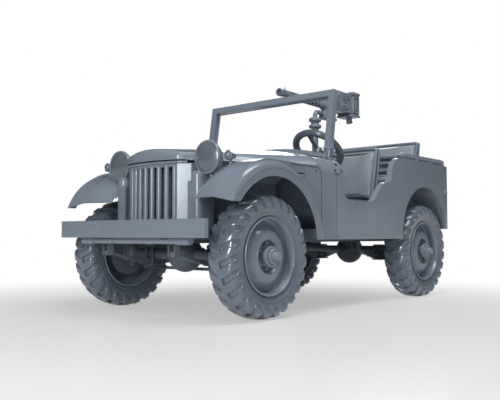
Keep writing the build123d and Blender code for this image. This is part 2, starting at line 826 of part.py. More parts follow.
with BuildPart() as body_side_left:
    with BuildSketch(Plane.XZ.offset(-BODY_Y)):
        with BuildLine():
            side_outline()
        make_face()
    extrude(amount=WALL_T)
    # wheel house
    with BuildSketch(Plane.XZ.offset(-(BODY_Y - WALL_T))):
        with Locations((REAR_AXLE_X, ARCH_Z)):
            Circle(LINER_R + SHEET)
            Circle(LINER_R, mode=Mode.SUBTRACT)
        with Locations((REAR_AXLE_X, FLOOR_Z - 500)):
            Rectangle(1200, 1000, mode=Mode.SUBTRACT)
    extrude(amount=BODY_Y - WALL_T - LINER_IN_Y)
    with BuildSketch(Plane.XZ.offset(-(LINER_IN_Y + SHEET))):
        with Locations((REAR_AXLE_X, ARCH_Z)):
            Circle(LINER_R + SHEET)
        with Locations((REAR_AXLE_X, FLOOR_Z - 500)):
            Rectangle(1200, 1000, mode=Mode.SUBTRACT)
    extrude(amount=SHEET)
    with Locations((REAR_X + WALL_T - 200, (LINER_IN_Y + BODY_Y - WALL_T) / 2, ARCH_Z + 200)):
        Box(400 + 2 * CLEAR, BODY_Y - WALL_T - LINER_IN_Y, 800, mode=Mode.SUBTRACT)
finish(body_side_left, "body_side_left")

with BuildPart() as body_side_right:
    mirror(body_side_left.part, about=Plane.XZ)
finish(body_side_right, "body_side_right")

with BuildPart() as rear_panel:
    with Locations((REAR_X + WALL_T / 2, 0, (REAR_LOW + SIDE_TOP) / 2)):
        Box(WALL_T, 2 * (BODY_Y - WALL_T), SIDE_TOP - REAR_LOW)
    # middle part reaches down to the floor's edge
    with Locations((REAR_X + WALL_T / 2, 0, (REAR_LOW + FLOOR_Z) / 2 + 1)):
        Box(WALL_T, 2 * LINER_IN_Y, REAR_LOW - FLOOR_Z + 2)
finish(rear_panel, "rear_panel")


def cowl_outline(inset, low):
    """Cowl section: crown, rounded shoulders and upright sides, moved in by inset."""
    side = BODY_Y - inset
    crease = (CREASE_Y - inset * 0.6, CREASE_Z - inset)
    mid = (CREASE_Y + 88 - inset, CREASE_Z - 44 - inset * 0.7)
    ThreePointArc((-crease[0], crease[1]), (0, CROWN_Z - inset), crease)
    ThreePointArc(crease, mid, (side, SHOULDER_Z - inset * 0.5))
    Polyline(
        (side, SHOULDER_Z - inset * 0.5),
        (side, low),
        (-side, low),
        (-side, SHOULDER_Z - inset * 0.5),
    )
    ThreePointArc((-side, SHOULDER_Z - inset * 0.5), (-mid[0], mid[1]), (-crease[0], crease[1]))


HINGE_PLATE_IN = SCREEN_HALF_W + 5.5
HINGE_PLATE_T = 8.0
with BuildPart() as cowl:
    with BuildSketch(Plane.YZ.offset(COWL_REAR_X)):
        with BuildLine():
            cowl_outline(0, SILL_Z)
        make_face()
        with BuildLine():
            cowl_outline(COWL_WALL, SILL_Z - 10)
        make_face(mode=Mode.SUBTRACT)
    extrude(amount=SEAM_X - CLEAR - COWL_REAR_X)
    # firewall between the cab and the engine
    with BuildSketch(Plane.YZ.offset(FIREWALL_X + CLEAR)):
        with BuildLine():
            cowl_outline(COWL_WALL / 2, TUNNEL_TOP + CLEAR)
        make_face()
    extrude(amount=SHEET)
    # below the step the body side takes over behind the join
    with Locations((COWL_REAR_X, 0, COWL_STEP_Z - 500)):
        Box(2 * (JOIN_X - COWL_REAR_X + CLEAR), 2 * BODY_Y + 20, 1000, mode=Mode.SUBTRACT)
    # hinge plates and pins of the windscreen
    for side, _ in SIDES:
        with BuildSketch(Plane.XZ.offset(-side * HINGE_PLATE_IN - (HINGE_PLATE_T if side > 0 else 0))):
            with BuildLine():
                Polyline(
                    (HINGE_X - HINGE_BOSS_R, HINGE_Z + HINGE_BOSS_R),
                    (HINGE_X + HINGE_BOSS_R, HINGE_Z + HINGE_BOSS_R),
                    (HINGE_X + 98, CREASE_Z - 10),
                    (HINGE_X + 27, CREASE_Z - 10),
                    (HINGE_X - HINGE_BOSS_R, HINGE_Z - 22),
                    close=True,
                )
            make_face()
        extrude(amount=HINGE_PLATE_T)
        with Locations((HINGE_X, side * (HINGE_PLATE_IN - 10), HINGE_Z)):
            Cylinder(HINGE_PIN_R, 24, rotation=(90, 0, 0))
    # barrel and leaf of the hood's hinge
    with BuildSketch(Plane.XZ.offset(-HOOD_HINGE_HALF)):
        with Locations((HOOD_HINGE_X, HOOD_HINGE_Z)):
            Circle(HOOD_HINGE_R)
        with Locations((HOOD_HINGE_X - 24, HOOD_HINGE_Z - 6)):
            Rectangle(42, 8)
    extrude(amount=2 * HOOD_HINGE_HALF)
finish(cowl, "cowl")

with BuildPart() as dashboard:
    with BuildSketch(Plane.YZ.offset(COWL_REAR_X + 6)):
        with BuildLine():
            cowl_outline(COWL_WALL + 1, DASH_LOW)
        make_face()
        for side, _ in SIDES:
            with Locations((side * (DASH_HALF_W + 200), COWL_STEP_Z + MOVE_CLEAR - 100)):
                Rectangle(400, 200, mode=Mode.SUBTRACT)
    extrude(amount=DASH_T)
    # bracket that holds the steering column
    bracket_x = COWL_REAR_X + 6 + DASH_T / 2
    bracket_low = WHEEL_Z - (COWL_REAR_X + 6 - WHEEL_X) * tan(TILT) + (COLUMN_R + CLEAR) / cos(TILT)
    with Locations((bracket_x, COLUMN_Y, (DASH_LOW + 6 + bracket_low) / 2)):
        Box(DASH_T, 40, DASH_LOW + 6 - bracket_low)
finish(dashboard, "dashboard")

# ---------------------------------------------------------------- front fenders
TAIL_DROP = FENDER_Z + FENDER_R - FENDER_TAIL_Z
TAIL_LEN = FENDER_X - SEAM_X
FENDER_SECTION_MID = (450.0, -40.0)  # y, below the crown
FENDER_SECTION_IN = -105.0  # below the crown at the inner wall


def crown_solid(inset):
    """Fender block under its crowned top: swung round the front, straight to the tail."""
    top = FENDER_R - inset
    inner = FENDER_IN_Y + (0 if inset == 0 else inset)
    outer = FENDER_Y + 1
    section = Plane(origin=(FENDER_X, 0, FENDER_Z), x_dir=(0, 1, 0), z_dir=(1, 0, 0))
    with BuildPart() as block:
        with BuildSketch(section) as half:
            with BuildLine():
                ThreePointArc(
                    (inner, top + FENDER_SECTION_IN),
                    (FENDER_SECTION_MID[0], top + FENDER_SECTION_MID[1]),
                    (600, top),
                )
                Polyline((600, top), (outer, top), (outer, 0), (inner, 0), (inner, top + FENDER_SECTION_IN))
            make_face()
        revolve(axis=Axis((FENDER_X, 0, FENDER_Z), (0, 1, 0)), revolution_arc=90)
        extrude(half.sketch, amount=sqrt(TAIL_LEN**2 + TAIL_DROP**2), dir=(-TAIL_LEN, 0, -TAIL_DROP))
        with BuildSketch(Plane.XZ.offset(-outer)):
            with BuildLine():
                Polyline(
                    (SEAM_X + inset, 400),
                    (FENDER_X + top, 400),
                    (FENDER_X + top, FENDER_Z),
                    (FENDER_X, FENDER_Z + 60),
                    (SEAM_X + inset, FENDER_Z + 60),
                    close=True,
                )
            make_face()
        extrude(amount=outer - inner)
    return block.part


def flange_dome(inset):
    """Round dome behind the wheel arch's raised flange."""
    with BuildPart() as dome:
        with BuildSketch(Plane(origin=(WHEEL_ARCH_X, 0, WHEEL_ARCH_Z), x_dir=(1, 0, 0), z_dir=(0, 0, 1))):
            with BuildLine():
                Line((0, FENDER_Y - inset), (FLANGE_R - inset, FENDER_Y - inset))
                ThreePointArc(
                    (FLANGE_R - inset, FENDER_Y - inset),
                    (FLANGE_R + 36 - inset, FENDER_Y - 13 - inset),
                    (FLANGE_ROLL_R - inset, BODY_Y - 6 - inset),
                )
                Polyline((FLANGE_ROLL_R - inset, BODY_Y - 6 - inset), (FLANGE_ROLL_R - inset, 300), (0, 300))
                Line((0, 300), (0, FENDER_Y - inset))
            make_face()
        revolve(axis=Axis((WHEEL_ARCH_X, 0, WHEEL_ARCH_Z), (0, 1, 0)))
    return dome.part


def fender_form(inset):
    crown = crown_solid(inset)
    flat = Pos(FENDER_X, (BODY_Y - inset) / 2, 700) * Box(3000, BODY_Y - inset, 1000)
    return (crown & flat) + (crown & flange_dome(inset))


outer_form = fender_form(0)
inner_form = fender_form(SHEET)
with BuildPart() as front_fender_left:
    add(outer_form)
    add(inner_form, mode=Mode.SUBTRACT)
    # wheel arch, open from outside to the inner wall
    with BuildSketch(Plane.XZ.offset(-FENDER_Y - 5)):
        with Locations((WHEEL_ARCH_X, WHEEL_ARCH_Z)):
            Circle(WHEEL_ARCH_R)
    extrude(amount=FENDER_Y + 5 - FENDER_IN_Y - SHEET, mode=Mode.SUBTRACT)
    # the front is open below the lip, and nothing hangs below the sill
    with BuildSketch(Plane.YZ.offset(APRON_X)):
        with BuildLine():
            Polyline(
                (FENDER_IN_Y + SHEET, LIP_Z),
                (LIP_KNEE_Y, LIP_Z),
                (FENDER_Y + 2, LIP_OUT_Z),
                (FENDER_Y + 2, 0),
                (FENDER_IN_Y + SHEET, 0),
                close=True,
            )
        make_face()
    extrude(amount=FENDER_R, mode=Mode.SUBTRACT)
    with Locations((FENDER_X, 600, SILL_Z - 200)):
        Box(2000, 600, 400, mode=Mode.SUBTRACT)
    with Locations((APRON_X + 100, FENDER_IN_Y, 500)):
        Box(200, 100, 900, mode=Mode.SUBTRACT)
    # front apron beside the radiator shell
    with Locations((APRON_X - 9, (SHELL_CORNER_Y + FENDER_IN_Y) / 2 + 3, (RAIL_TOP + APRON_TOP) / 2 + CLEAR)):
        Box(SHEET, FENDER_IN_Y - SHELL_CORNER_Y + SHEET, APRON_TOP - RAIL_TOP)
    # upright strip that closes the engine bay below the hood's edge
    with BuildSketch(Plane.XY.offset(STRIP_LOW)):
        with BuildLine():
            strip = [
                (x, HOOD_REAR_LOW_Y - 3 + share * (HOOD_FRONT_LOW_Y - HOOD_REAR_LOW_Y))
                for x in (SHELL_BACK_X - MOVE_CLEAR, STRIP_REAR_X)
                for share in ((x - SEAM_X) / (HOOD_FRONT_X - SEAM_X),)
            ]
            Polyline(
                strip[0],
                strip[1],
                (strip[1][0], strip[1][1] - SHEET),
                (strip[0][0], strip[0][1] - SHEET),
                close=True,
            )
        make_face()
    extrude(amount=HOOD_LOW - MOVE_CLEAR - STRIP_LOW)
finish(front_fender_left, "front_fender_left")

with BuildPart() as front_fender_right:
    mirror(front_fender_left.part, about=Plane.XZ)
finish(front_fender_right, "front_fender_right")

# ---------------------------------------------------------------- hood


def hood_solid(inset, low):
    rear = SEAM_X + MOVE_CLEAR
    front = SHELL_FACE_X + HOOD_OVERHANG + 40

    def section(x):
        share = (x - SEAM_X) / (HOOD_FRONT_X - SEAM_X)
        crease_y = CREASE_Y + share * (HOOD_FRONT_CREASE_Y - CREASE_Y) - inset
        crease_z = CREASE_Z + share * (HOOD_FRONT_CREASE_Z - CREASE_Z) - inset
        crown = CROWN_Z + share * (HOOD_FRONT_CROWN - CROWN_Z) - inset
        low_y = HOOD_REAR_LOW_Y + share * (HOOD_FRONT_LOW_Y - HOOD_REAR_LOW_Y) - inset
        with BuildSketch(Plane.YZ.offset(x)) as face:
            with BuildLine():
                ThreePointArc((-crease_y, crease_z), (0, crown), (crease_y, crease_z))
                Polyline((crease_y, crease_z), (low_y, low), (-low_y, low), (-crease_y, crease_z))
            make_face()
        return face.sketch

    with BuildPart() as hood_block:
        loft([section(rear), section(front)], ruled=True)
    return hood_block.part


def shell_plan(grow, back_x, spread=500):
    """Plan of the radiator shell: bowed front, slanted corners and sides that spread backwards."""
    half = GRILLE_HALF_Y + grow
    sag = SHELL_ARC_R - sqrt(SHELL_ARC_R**2 - GRILLE_HALF_Y**2)
    edge = (SHELL_FACE_X - sag + grow, half)
    corner = (SHELL_CORNER_X + grow * 0.5, SHELL_CORNER_Y + grow)
    ThreePointArc((edge[0], -half), (SHELL_FACE_X + grow, 0), edge)
    back = corner[1] + spread
    Polyline(edge, corner, (back_x, back), (back_x, -back), (corner[0], -corner[1]), (edge[0], -half))


def plan_block(grow):
    """Tall block inside the bowed plan, which trims the hood's nose."""
    with BuildPart() as block:
        with BuildSketch(Plane.XY.offset(HOOD_LOW - 50)):
            with BuildLine():
                shell_plan(grow, SEAM_X - 10)
            make_face()
        extrude(amount=300)
    return block.part


hood_outer = hood_solid(0, HOOD_LOW) & plan_block(HOOD_OVERHANG)
hood_inner = hood_solid(HOOD_T, HOOD_LOW - 10) & plan_block(HOOD_OVERHANG - HOOD_T)
with BuildPart() as hood:
    add(hood_outer)
    add(hood_inner, mode=Mode.SUBTRACT)
finish(hood, "hood")

# ---------------------------------------------------------------- radiator shell
with BuildPart() as radiator_shell:
    with BuildSketch(Plane.XY.offset(SHELL_LOW)):
        with BuildLine():
            shell_plan(0, SHELL_BACK_X, SHELL_SPREAD)
        make_face()
        with BuildLine():
            shell_plan(-SHEET, SHELL_BACK_X - 1, SHELL_SPREAD)
        make_face(mode=Mode.SUBTRACT)
    extrude(amount=SHELL_TOP - SHELL_LOW)
    # grille opening with a top and a bottom rail
    with Locations((SHELL_FACE_X, 0, (SHELL_TOP + SHELL_LOW) / 2)):
        Box(
            160,
            2 * (GRILLE_HALF_Y - 6),
            SHELL_TOP - SHELL_LOW - 2 * GRILLE_RAIL_H,
            mode=Mode.SUBTRACT,
        )
    # upright round bars on the bowed front
    for bar in range(BAR_COUNT):
        turn = (bar - (BAR_COUNT - 1) / 2) * BAR_PITCH / SHELL_ARC_R
        bar_x = SHELL_FACE_X - SHELL_ARC_R + (SHELL_ARC_R - BAR_R + 4) * cos(turn)
        bar_y = (SHELL_ARC_R - BAR_R + 4) * sin(turn)
        with BuildSketch(Plane.XY.offset(SHELL_LOW + 2)):
            with Locations((bar_x, bar_y)):
                Circle(BAR_R)
        extrude(amount=SHELL_TOP - SHELL_LOW - 8)
finish(radiator_shell, "radiator_shell")

with BuildPart() as radiator_core:
    core_low = RAIL_TOP - RAIL_WALL + CLEAR
    with Locations((CORE_X, 0, (core_low + CORE_TOP) / 2)):
        Box(CORE_T, 2 * CORE_HALF_W, CORE_TOP - core_low)
finish(radiator_core, "radiator_core")

# ---------------------------------------------------------------- lamps
with BuildPart() as left_bowls:
    lamp = Plane(origin=(LAMP_X, LAMP_Y, LAMP_Z), x_dir=(0, 0, 1), z_dir=(0, 1, 0))
    with BuildSketch(lamp):
        with BuildLine():
            # local x is up, local y is forward
            Line((0, -LAMP_DEPTH), (0, SHEET - LAMP_DEPTH))
            ThreePointArc(
                (0, SHEET - LAMP_DEPTH),
                (LAMP_R * 0.70, SHEET - LAMP_DEPTH * 0.62),
                (LAMP_R - BEZEL_W, 0),
            )
            Polyline((LAMP_R - BEZEL_W, 0), (LAMP_R, 0), (LAMP_R, -BEZEL_BACK), (LAMP_R - 4, -BEZEL_BACK))
            ThreePointArc(
                (LAMP_R - 4, -BEZEL_BACK),
                (LAMP_R * 0.74, -LAMP_DEPTH * 0.66),
                (0, -LAMP_DEPTH),
            )
        make_face()
    revolve(axis=Axis((LAMP_X, LAMP_Y, LAMP_Z), (1, 0, 0)))
    with BuildSketch(Plane(origin=(MARKER_X, MARKER_Y, MARKER_Z), z_dir=(-1, 0, 0))):
        Circle(MARKER_R)
    extrude(amount=MARKER_DEPTH, taper=14)
    # feet that end on the fender
    for foot_x, foot_y, foot_z, foot_r, lamp_low in (
        (LAMP_X - LAMP_FOOT_BACK, LAMP_Y, LAMP_FOOT_Z, 15, LAMP_Z - LAMP_R * 0.7),
        (MARKER_X - MARKER_FOOT_BACK, MARKER_Y, MARKER_FOOT_Z, 9, MARKER_Z - MARKER_R * 0.6),
    ):
        with BuildSketch(Plane.XY.offset(foot_z)):
            with Locations((foot_x, foot_y)):
                Circle(foot_r)
        extrude(amount=lamp_low - foot_z)
    add(Pos(0.5, 0, 0.5) * outer_form, mode=Mode.SUBTRACT)

with BuildPart() as lamp_bowls:
    add(left_bowls.part)
    mirror(left_bowls.part, about=Plane.XZ)
finish(lamp_bowls, "lamp_bowls")

with BuildPart() as lamp_lenses:
    for side, _ in SIDES:
        for x, y, z, radius, dome in (
            (LAMP_X, LAMP_Y, LAMP_Z, LAMP_R - BEZEL_W / 2, LENS_DOME),
            (MARKER_X, MARKER_Y, MARKER_Z, MARKER_R - 3, MARKER_R * 0.6),
        ):
            lens = Plane(origin=(x + CLEAR, side * y, z), x_dir=(0, 0, 1), z_dir=(0, 1, 0))
            with BuildSketch(lens):
                with BuildLine():
                    Line((0, 0), (0, dome))
                    ThreePointArc((0, dome), (radius * 0.6, dome * 0.72), (radius, 0))
                    Line((radius, 0), (0, 0))
                make_face()
            revolve(axis=Axis((x, side * y, z), (1, 0, 0)))
finish(lamp_lenses, "lamp_lenses")

# ---------------------------------------------------------------- windscreen
RAKE = atan2(HINGE_X - SCREEN_TOP_X, SCREEN_TOP_Z - HINGE_Z)
SCREEN_LEN = hypot(HINGE_X - SCREEN_TOP_X, SCREEN_TOP_Z - HINGE_Z)
# on the front face; local x is to the car's left, local y runs up the frame from the hinge
screen_plane = Plane(origin=(HINGE_X, 0, HINGE_Z), x_dir=(0, 1, 0), z_dir=(cos(RAKE), 0, sin(RAKE)))
LOW_BAR_MID = (CROWN_Z + MOVE_CLEAR + 2 - HINGE_Z) / cos(RAKE)
LOW_BAR_END = (CREASE_Z + 22 - HINGE_Z) / cos(RAKE)
SCREEN_FOOT = (SCREEN_FOOT_Z - HINGE_Z) / cos(RAKE)
with BuildPart() as windscreen_frame:
    inner_half = SCREEN_HALF_W - SCREEN_BAR
    with BuildSketch(screen_plane.offset(-SCREEN_T)):
        with Locations((0, (SCREEN_LEN + SCREEN_FOOT) / 2)):
            Rectangle(2 * SCREEN_HALF_W, SCREEN_LEN - SCREEN_FOOT)
        with Locations((0, (SCREEN_LEN + SCREEN_FOOT) / 2 - SCREEN_BAR)):
            Rectangle(2 * inner_half, SCREEN_LEN - SCREEN_FOOT, mode=Mode.SUBTRACT)
        # the lower bar is arched over the cowl
        with BuildLine():
            ThreePointArc(
                (-inner_half - 2, LOW_BAR_END),
                (0, LOW_BAR_MID),
                (inner_half + 2, LOW_BAR_END),
            )
            Line((inner_half + 2, LOW_BAR_END), (inner_half + 2, LOW_BAR_END + SCREEN_LOW_BAR))
            ThreePointArc(
                (inner_half + 2, LOW_BAR_END + SCREEN_LOW_BAR),
                (0, LOW_BAR_MID + SCREEN_LOW_BAR),
                (-inner_half - 2, LOW_BAR_END + SCREEN_LOW_BAR),
            )
            Line((-inner_half - 2, LOW_BAR_END + SCREEN_LOW_BAR), (-inner_half - 2, LOW_BAR_END))
        make_face()
    extrude(amount=SCREEN_T)
    # boss with the bore at each hinge
    for side, _ in SIDES:
        boss = Plane(origin=(HINGE_X, side * SCREEN_HALF_W, HINGE_Z), z_dir=(0, -side, 0))
        with BuildSketch(boss):
            Circle(HINGE_BOSS_R)
        extrude(amount=SCREEN_BAR - 4)
        with BuildSketch(boss.offset(-1)):
            Circle(HINGE_PIN_R + RUN_FIT)
        extrude(amount=20, mode=Mode.SUBTRACT)
finish(windscreen_frame, "windscreen_frame")

# ---------------------------------------------------------------- steering
column_dir = (cos(TILT), 0, -sin(TILT))
steer_mid = (WHEEL_X, COLUMN_Y, WHEEL_Z)
steer_plane = Plane(origin=steer_mid, x_dir=(0, 1, 0), z_dir=column_dir)
COLUMN_START = 42.0
TOE_SLOPE = (TOE_TOP - FLOOR_Z - 2) / (FIREWALL_X - TOE_T - TOE_X)
COLUMN_LEN = (WHEEL_Z - FLOOR_Z - 2 + (TOE_X - WHEEL_X) * TOE_SLOPE) / (sin(TILT) + TOE_SLOPE * cos(TILT)) - 7

with BuildPart() as steering_wheel:
    with BuildSketch(Plane(origin=steer_mid, x_dir=(0, 1, 0), z_dir=(sin(TILT), 0, cos(TILT)))):
        with Locations((STEER_R - STEER_RIM_R, 0)):
            Circle(STEER_RIM_R)
    revolve(axis=Axis(steer_mid, column_dir))
    with BuildSketch(steer_plane.offset(-14)):
        Circle(STEER_HUB_R)
    extrude(amount=14 + COLUMN_START - CLEAR)
    for spoke in range(3):
        turn = radians(90 + 120 * spoke)
        spoke_dir = (sin(turn) * sin(TILT), cos(turn), sin(turn) * cos(TILT))
        with BuildSketch(Plane(origin=steer_mid, x_dir=spoke_dir, z_dir=column_dir).offset(-5)):
            with Locations(((STEER_R - STEER_RIM_R) / 2, 0)):
                Rectangle(STEER_R - STEER_RIM_R, 30)
        extrude(amount=12)
finish(steering_wheel, "steering_wheel")

with BuildPart() as steering_column:
    with BuildSketch(steer_plane.offset(COLUMN_START)):
        Circle(COLUMN_R)
    extrude(amount=COLUMN_LEN - COLUMN_START)
finish(steering_column, "steering_column")

# ---------------------------------------------------------------- seats


def seat_back_outline(foot_x, low, top_x, top, thick):
    """Side outline of a seat back with a rolled top edge."""
    Polyline((top_x, top - thick / 2), (foot_x, low), (foot_x - thick, low), (top_x - thick, top - thick / 2))
    ThreePointArc((top_x - thick, top - thick / 2), (top_x - thick / 2, top), (top_x, top - thick / 2))


with BuildPart() as front_cushions:
    for side, _ in SIDES:
        start = Plane.XZ.offset(-(SEAT_OUT_Y if side > 0 else -SEAT_IN_Y))
        with BuildSketch(start):
            with BuildLine():
                seat_back_outline(SEAT_FOOT_X, SEAT_LOW_Z + CUSHION_T + CLEAR, SEAT_TOP_X, SEAT_TOP_Z, SEAT_T)
            make_face()
        extrude(amount=SEAT_OUT_Y - SEAT_IN_Y)
        with BuildSketch(start):
            with Locations(((SEAT_FRONT_X + SEAT_FOOT_X - SEAT_T) / 2, SEAT_LOW_Z + CUSHION_T / 2)):
                RectangleRounded(SEAT_FRONT_X - SEAT_FOOT_X + SEAT_T, CUSHION_T, 24)
        extrude(amount=SEAT_OUT_Y - SEAT_IN_Y)
finish(front_cushions, "front_cushions")

with BuildPart() as seat_bases:
    for side, _ in SIDES:
        with Locations(
            (
                (SEAT_FRONT_X + SEAT_FOOT_X) / 2 - 20,
                side * (SEAT_IN_Y + SEAT_OUT_Y) / 2,
                (FLOOR_Z + FLOOR_T + SEAT_LOW_Z) / 2,
            )
        ):
            Box(
                SEAT_FRONT_X - SEAT_FOOT_X - 30,
                SEAT_OUT_Y - SEAT_IN_Y - 40,
                SEAT_LOW_Z - FLOOR_Z - FLOOR_T - 2 * CLEAR,
            )
finish(seat_bases, "seat_bases")

REAR_BENCH_Z = ARCH_Z + LINER_R + SHEET + CLEAR
REAR_BENCH_MID_X = REAR_SEAT_X + REAR_SEAT_LEAN - REAR_SEAT_T + REAR_CUSHION_LEN / 2
with BuildPart() as rear_seat:
    with BuildSketch(Plane.XZ.offset(-REAR_SEAT_HALF_W)):
        with BuildLine():
            seat_back_outline(
                REAR_SEAT_X + REAR_SEAT_LEAN,
                REAR_BENCH_Z + CUSHION_T + CLEAR,
                REAR_SEAT_X,
                REAR_SEAT_TOP_Z,
                REAR_SEAT_T,
            )
        make_face()
        with Locations((REAR_BENCH_MID_X, REAR_BENCH_Z + CUSHION_T / 2)):
            RectangleRounded(REAR_CUSHION_LEN, CUSHION_T, 24)
    extrude(amount=2 * REAR_SEAT_HALF_W)
finish(rear_seat, "rear_seat")

with BuildPart() as top_rails:
    rail_mid_y = BODY_Y - TOP_RAIL_T / 2 - 3
    for side, _ in SIDES:
        with BuildSketch(Plane.XZ.offset(-(side * rail_mid_y + TOP_RAIL_T / 2))):
            with BuildLine():
                Polyline(
                    (TOP_RAIL_REAR_X, TOP_RAIL_LOW),
                    (TOP_RAIL_FRONT_X, TOP_RAIL_LOW),
                    (TOP_RAIL_FRONT_X - 30, TOP_RAIL_TOP),
                    (TOP_RAIL_REAR_X, TOP_RAIL_TOP),
                    close=True,
                )
            make_face()
        extrude(amount=TOP_RAIL_T)
        for foot_x in (-680, -930, -1180, -1430):
            with Locations((foot_x, side * rail_mid_y, (SIDE_TOP + TOP_RAIL_LOW) / 2 + 1)):
                Box(30, TOP_RAIL_T - 6, TOP_RAIL_LOW - SIDE_TOP + 2 - CLEAR)
finish(top_rails, "top_rails")

# ---------------------------------------------------------------- gun mount
LOW_COLLAR_Z = TRUNNION_Z - LOW_COLLAR_DROP
HIGH_COLLAR_Z = TRUNNION_Z - HIGH_COLLAR_DROP
ARM_Z = TRUNNION_Z - ARM_DROP
GUN_AXIS = Axis((POST_X, POST_Y, 0), (0, 0, 1))
# local x runs from the post to the muzzle, local y up from the trunnion; its origin is on the post's axis
gun_side = Plane(origin=(POST_X, POST_Y, TRUNNION_Z), x_dir=(1, 0, 0), z_dir=(0, -1, 0))


def finish_aimed(built, label):
    """Turn a piece built straight ahead to where the gun points, then finish it."""
    aimed = built.part.rotate(GUN_AXIS, GUN_YAW)
    aimed.label = label
    export_step(aimed, f"parts/{label}.step")


with BuildPart() as gun_post:
    foot = Plane(origin=(POST_X, POST_Y, FLOOR_Z + FLOOR_T))
    with BuildSketch(foot):
        Circle(POST_FOOT_R)
    extrude(amount=POST_FOOT_T)
    with BuildSketch(foot):
        Circle(POST_R)
    extrude(amount=LOW_COLLAR_Z - FLOOR_Z)
    collar = Plane(origin=(POST_X, POST_Y, LOW_COLLAR_Z))
    with BuildSketch(collar):
        Circle(COLLAR_BIG_R)
    extrude(amount=LOW_COLLAR_H)
    # pivot that the swivel turns on
    with BuildSketch(collar):
        Circle(PIVOT_R)
    extrude(amount=HIGH_COLLAR_Z - LOW_COLLAR_Z + HIGH_COLLAR_H / 2)
finish(gun_post, "gun_post")

with BuildPart() as gun_cradle:
    neck_low = LOW_COLLAR_Z + LOW_COLLAR_H + CLEAR
    with BuildSketch(Plane(origin=(POST_X, POST_Y, neck_low))):
        Circle(NECK_R)
    extrude(amount=HIGH_COLLAR_Z - neck_low + 5)
    with BuildSketch(Plane(origin=(POST_X, POST_Y, HIGH_COLLAR_Z))):
        Circle(COLLAR_BIG_R)
    extrude(amount=HIGH_COLLAR_H)
    with BuildSketch(Plane(origin=(POST_X, POST_Y, neck_low - 1))):
        Circle(PIVOT_R + RUN_FIT)
    extrude(amount=HIGH_COLLAR_Z - neck_low + HIGH_COLLAR_H / 2 + 2, mode=Mode.SUBTRACT)
    # arm bent back under the gun
    arm_low = HIGH_COLLAR_Z + HIGH_COLLAR_H - 4
    fork_front = TRUNNION_BACK + FORK_FRONT
    fork_rear = TRUNNION_BACK + FORK_REAR
    fork_top = ARM_R - ARM_DROP + 3
    with BuildLine(Plane.XZ.offset(-POST_Y)) as arm_path:
        FilletPolyline((POST_X, arm_low), (POST_X, ARM_Z), (POST_X + fork_front - 2, ARM_Z), radius=ARM_BEND)
    with BuildSketch(Plane(origin=(POST_X, POST_Y, arm_low))):
        Circle(ARM_R)
    sweep(path=arm_path.line)
    # cheeks on both sides of the gun's lug, rounded about the trunnion
    for side, _ in SIDES:
        with BuildSketch(gun_side.offset(-side * FORK_IN - (FORK_T if side > 0 else 0))):
            with Locations((TRUNNION_BACK, 0)):
                Circle(FORK_EYE_R)
            with BuildLine():
                Polyline(
                    (TRUNNION_BACK - FORK_EYE_R, 0),
                    (TRUNNION_BACK + FORK_EYE_R, 0),
                    (fork_front, fork_top),
                    (fork_front, FORK_LOW),
                    (fork_rear, FORK_LOW),
                    (fork_rear, FORK_REAR_TOP),
                    close=True,
                )
            make_face()
        extrude(amount=FORK_T)
    # web across the front and the bottom
    with BuildSketch(gun_side.offset(-FORK_IN - FORK_T)):
        with Locations((fork_front - FORK_T / 2, (fork_top + FORK_LOW) / 2)):
            Rectangle(FORK_T, fork_top - FORK_LOW)
        with Locations(((fork_front + fork_rear) / 2, FORK_LOW + FORK_T / 2)):
            Rectangle(FORK_FRONT - FORK_REAR, FORK_T)
    extrude(amount=2 * (FORK_IN + FORK_T))
    with Locations((POST_X + TRUNNION_BACK, POST_Y, TRUNNION_Z)):
        Cylinder(TRUNNION_R, 2 * FORK_IN + 2, rotation=(90, 0, 0))
finish_aimed(gun_cradle, "gun_cradle")

BOX_LIP_REAR = GUN_BOX_REAR - GUN_LIP
BOX_LIP_FRONT = GUN_BOX_FRONT + GUN_LIP
BOX_LIP_HALF = GUN_BOX_HALF_W + GUN_LIP
GUN_BLOCKS = (
    # rear, front, low, top, half width
    (GUN_BOX_FRONT, TRUNNION_BACK, GUN_LOW, GUN_MID_TOP, GUN_HALF_W),
    (TRUNNION_BACK - 5, TRUNNION_BACK + 10, GUN_LOW, GUN_LOW + 67, GUN_HALF_W - 5),
    (GUN_BOX_FRONT, COVER_FRONT, GUN_MID_TOP, COVER_TOP, GUN_HALF_W - 4),
    (GUN_BOX_REAR, GUN_BOX_FRONT, GUN_LOW - 2, GUN_BOX_TOP, GUN_BOX_HALF_W),
    (BOX_LIP_REAR, BOX_LIP_FRONT, GUN_BOX_TOP, GUN_BOX_TOP + GUN_LID_T, BOX_LIP_HALF),
    (BOX_LIP_REAR, BOX_LIP_FRONT, GUN_LOW - 22, GUN_LOW - 2, BOX_LIP_HALF),
    # raised plates on the box's front and sides
    (GUN_BOX_REAR, GUN_BOX_FRONT + 6, GUN_LOW + 14, GUN_BOX_TOP - 16, GUN_BOX_HALF_W - 14),
    (GUN_BOX_REAR + 14, GUN_BOX_FRONT - 14, GUN_LOW + 14, GUN_BOX_TOP - 16, GUN_BOX_HALF_W + 6),
)
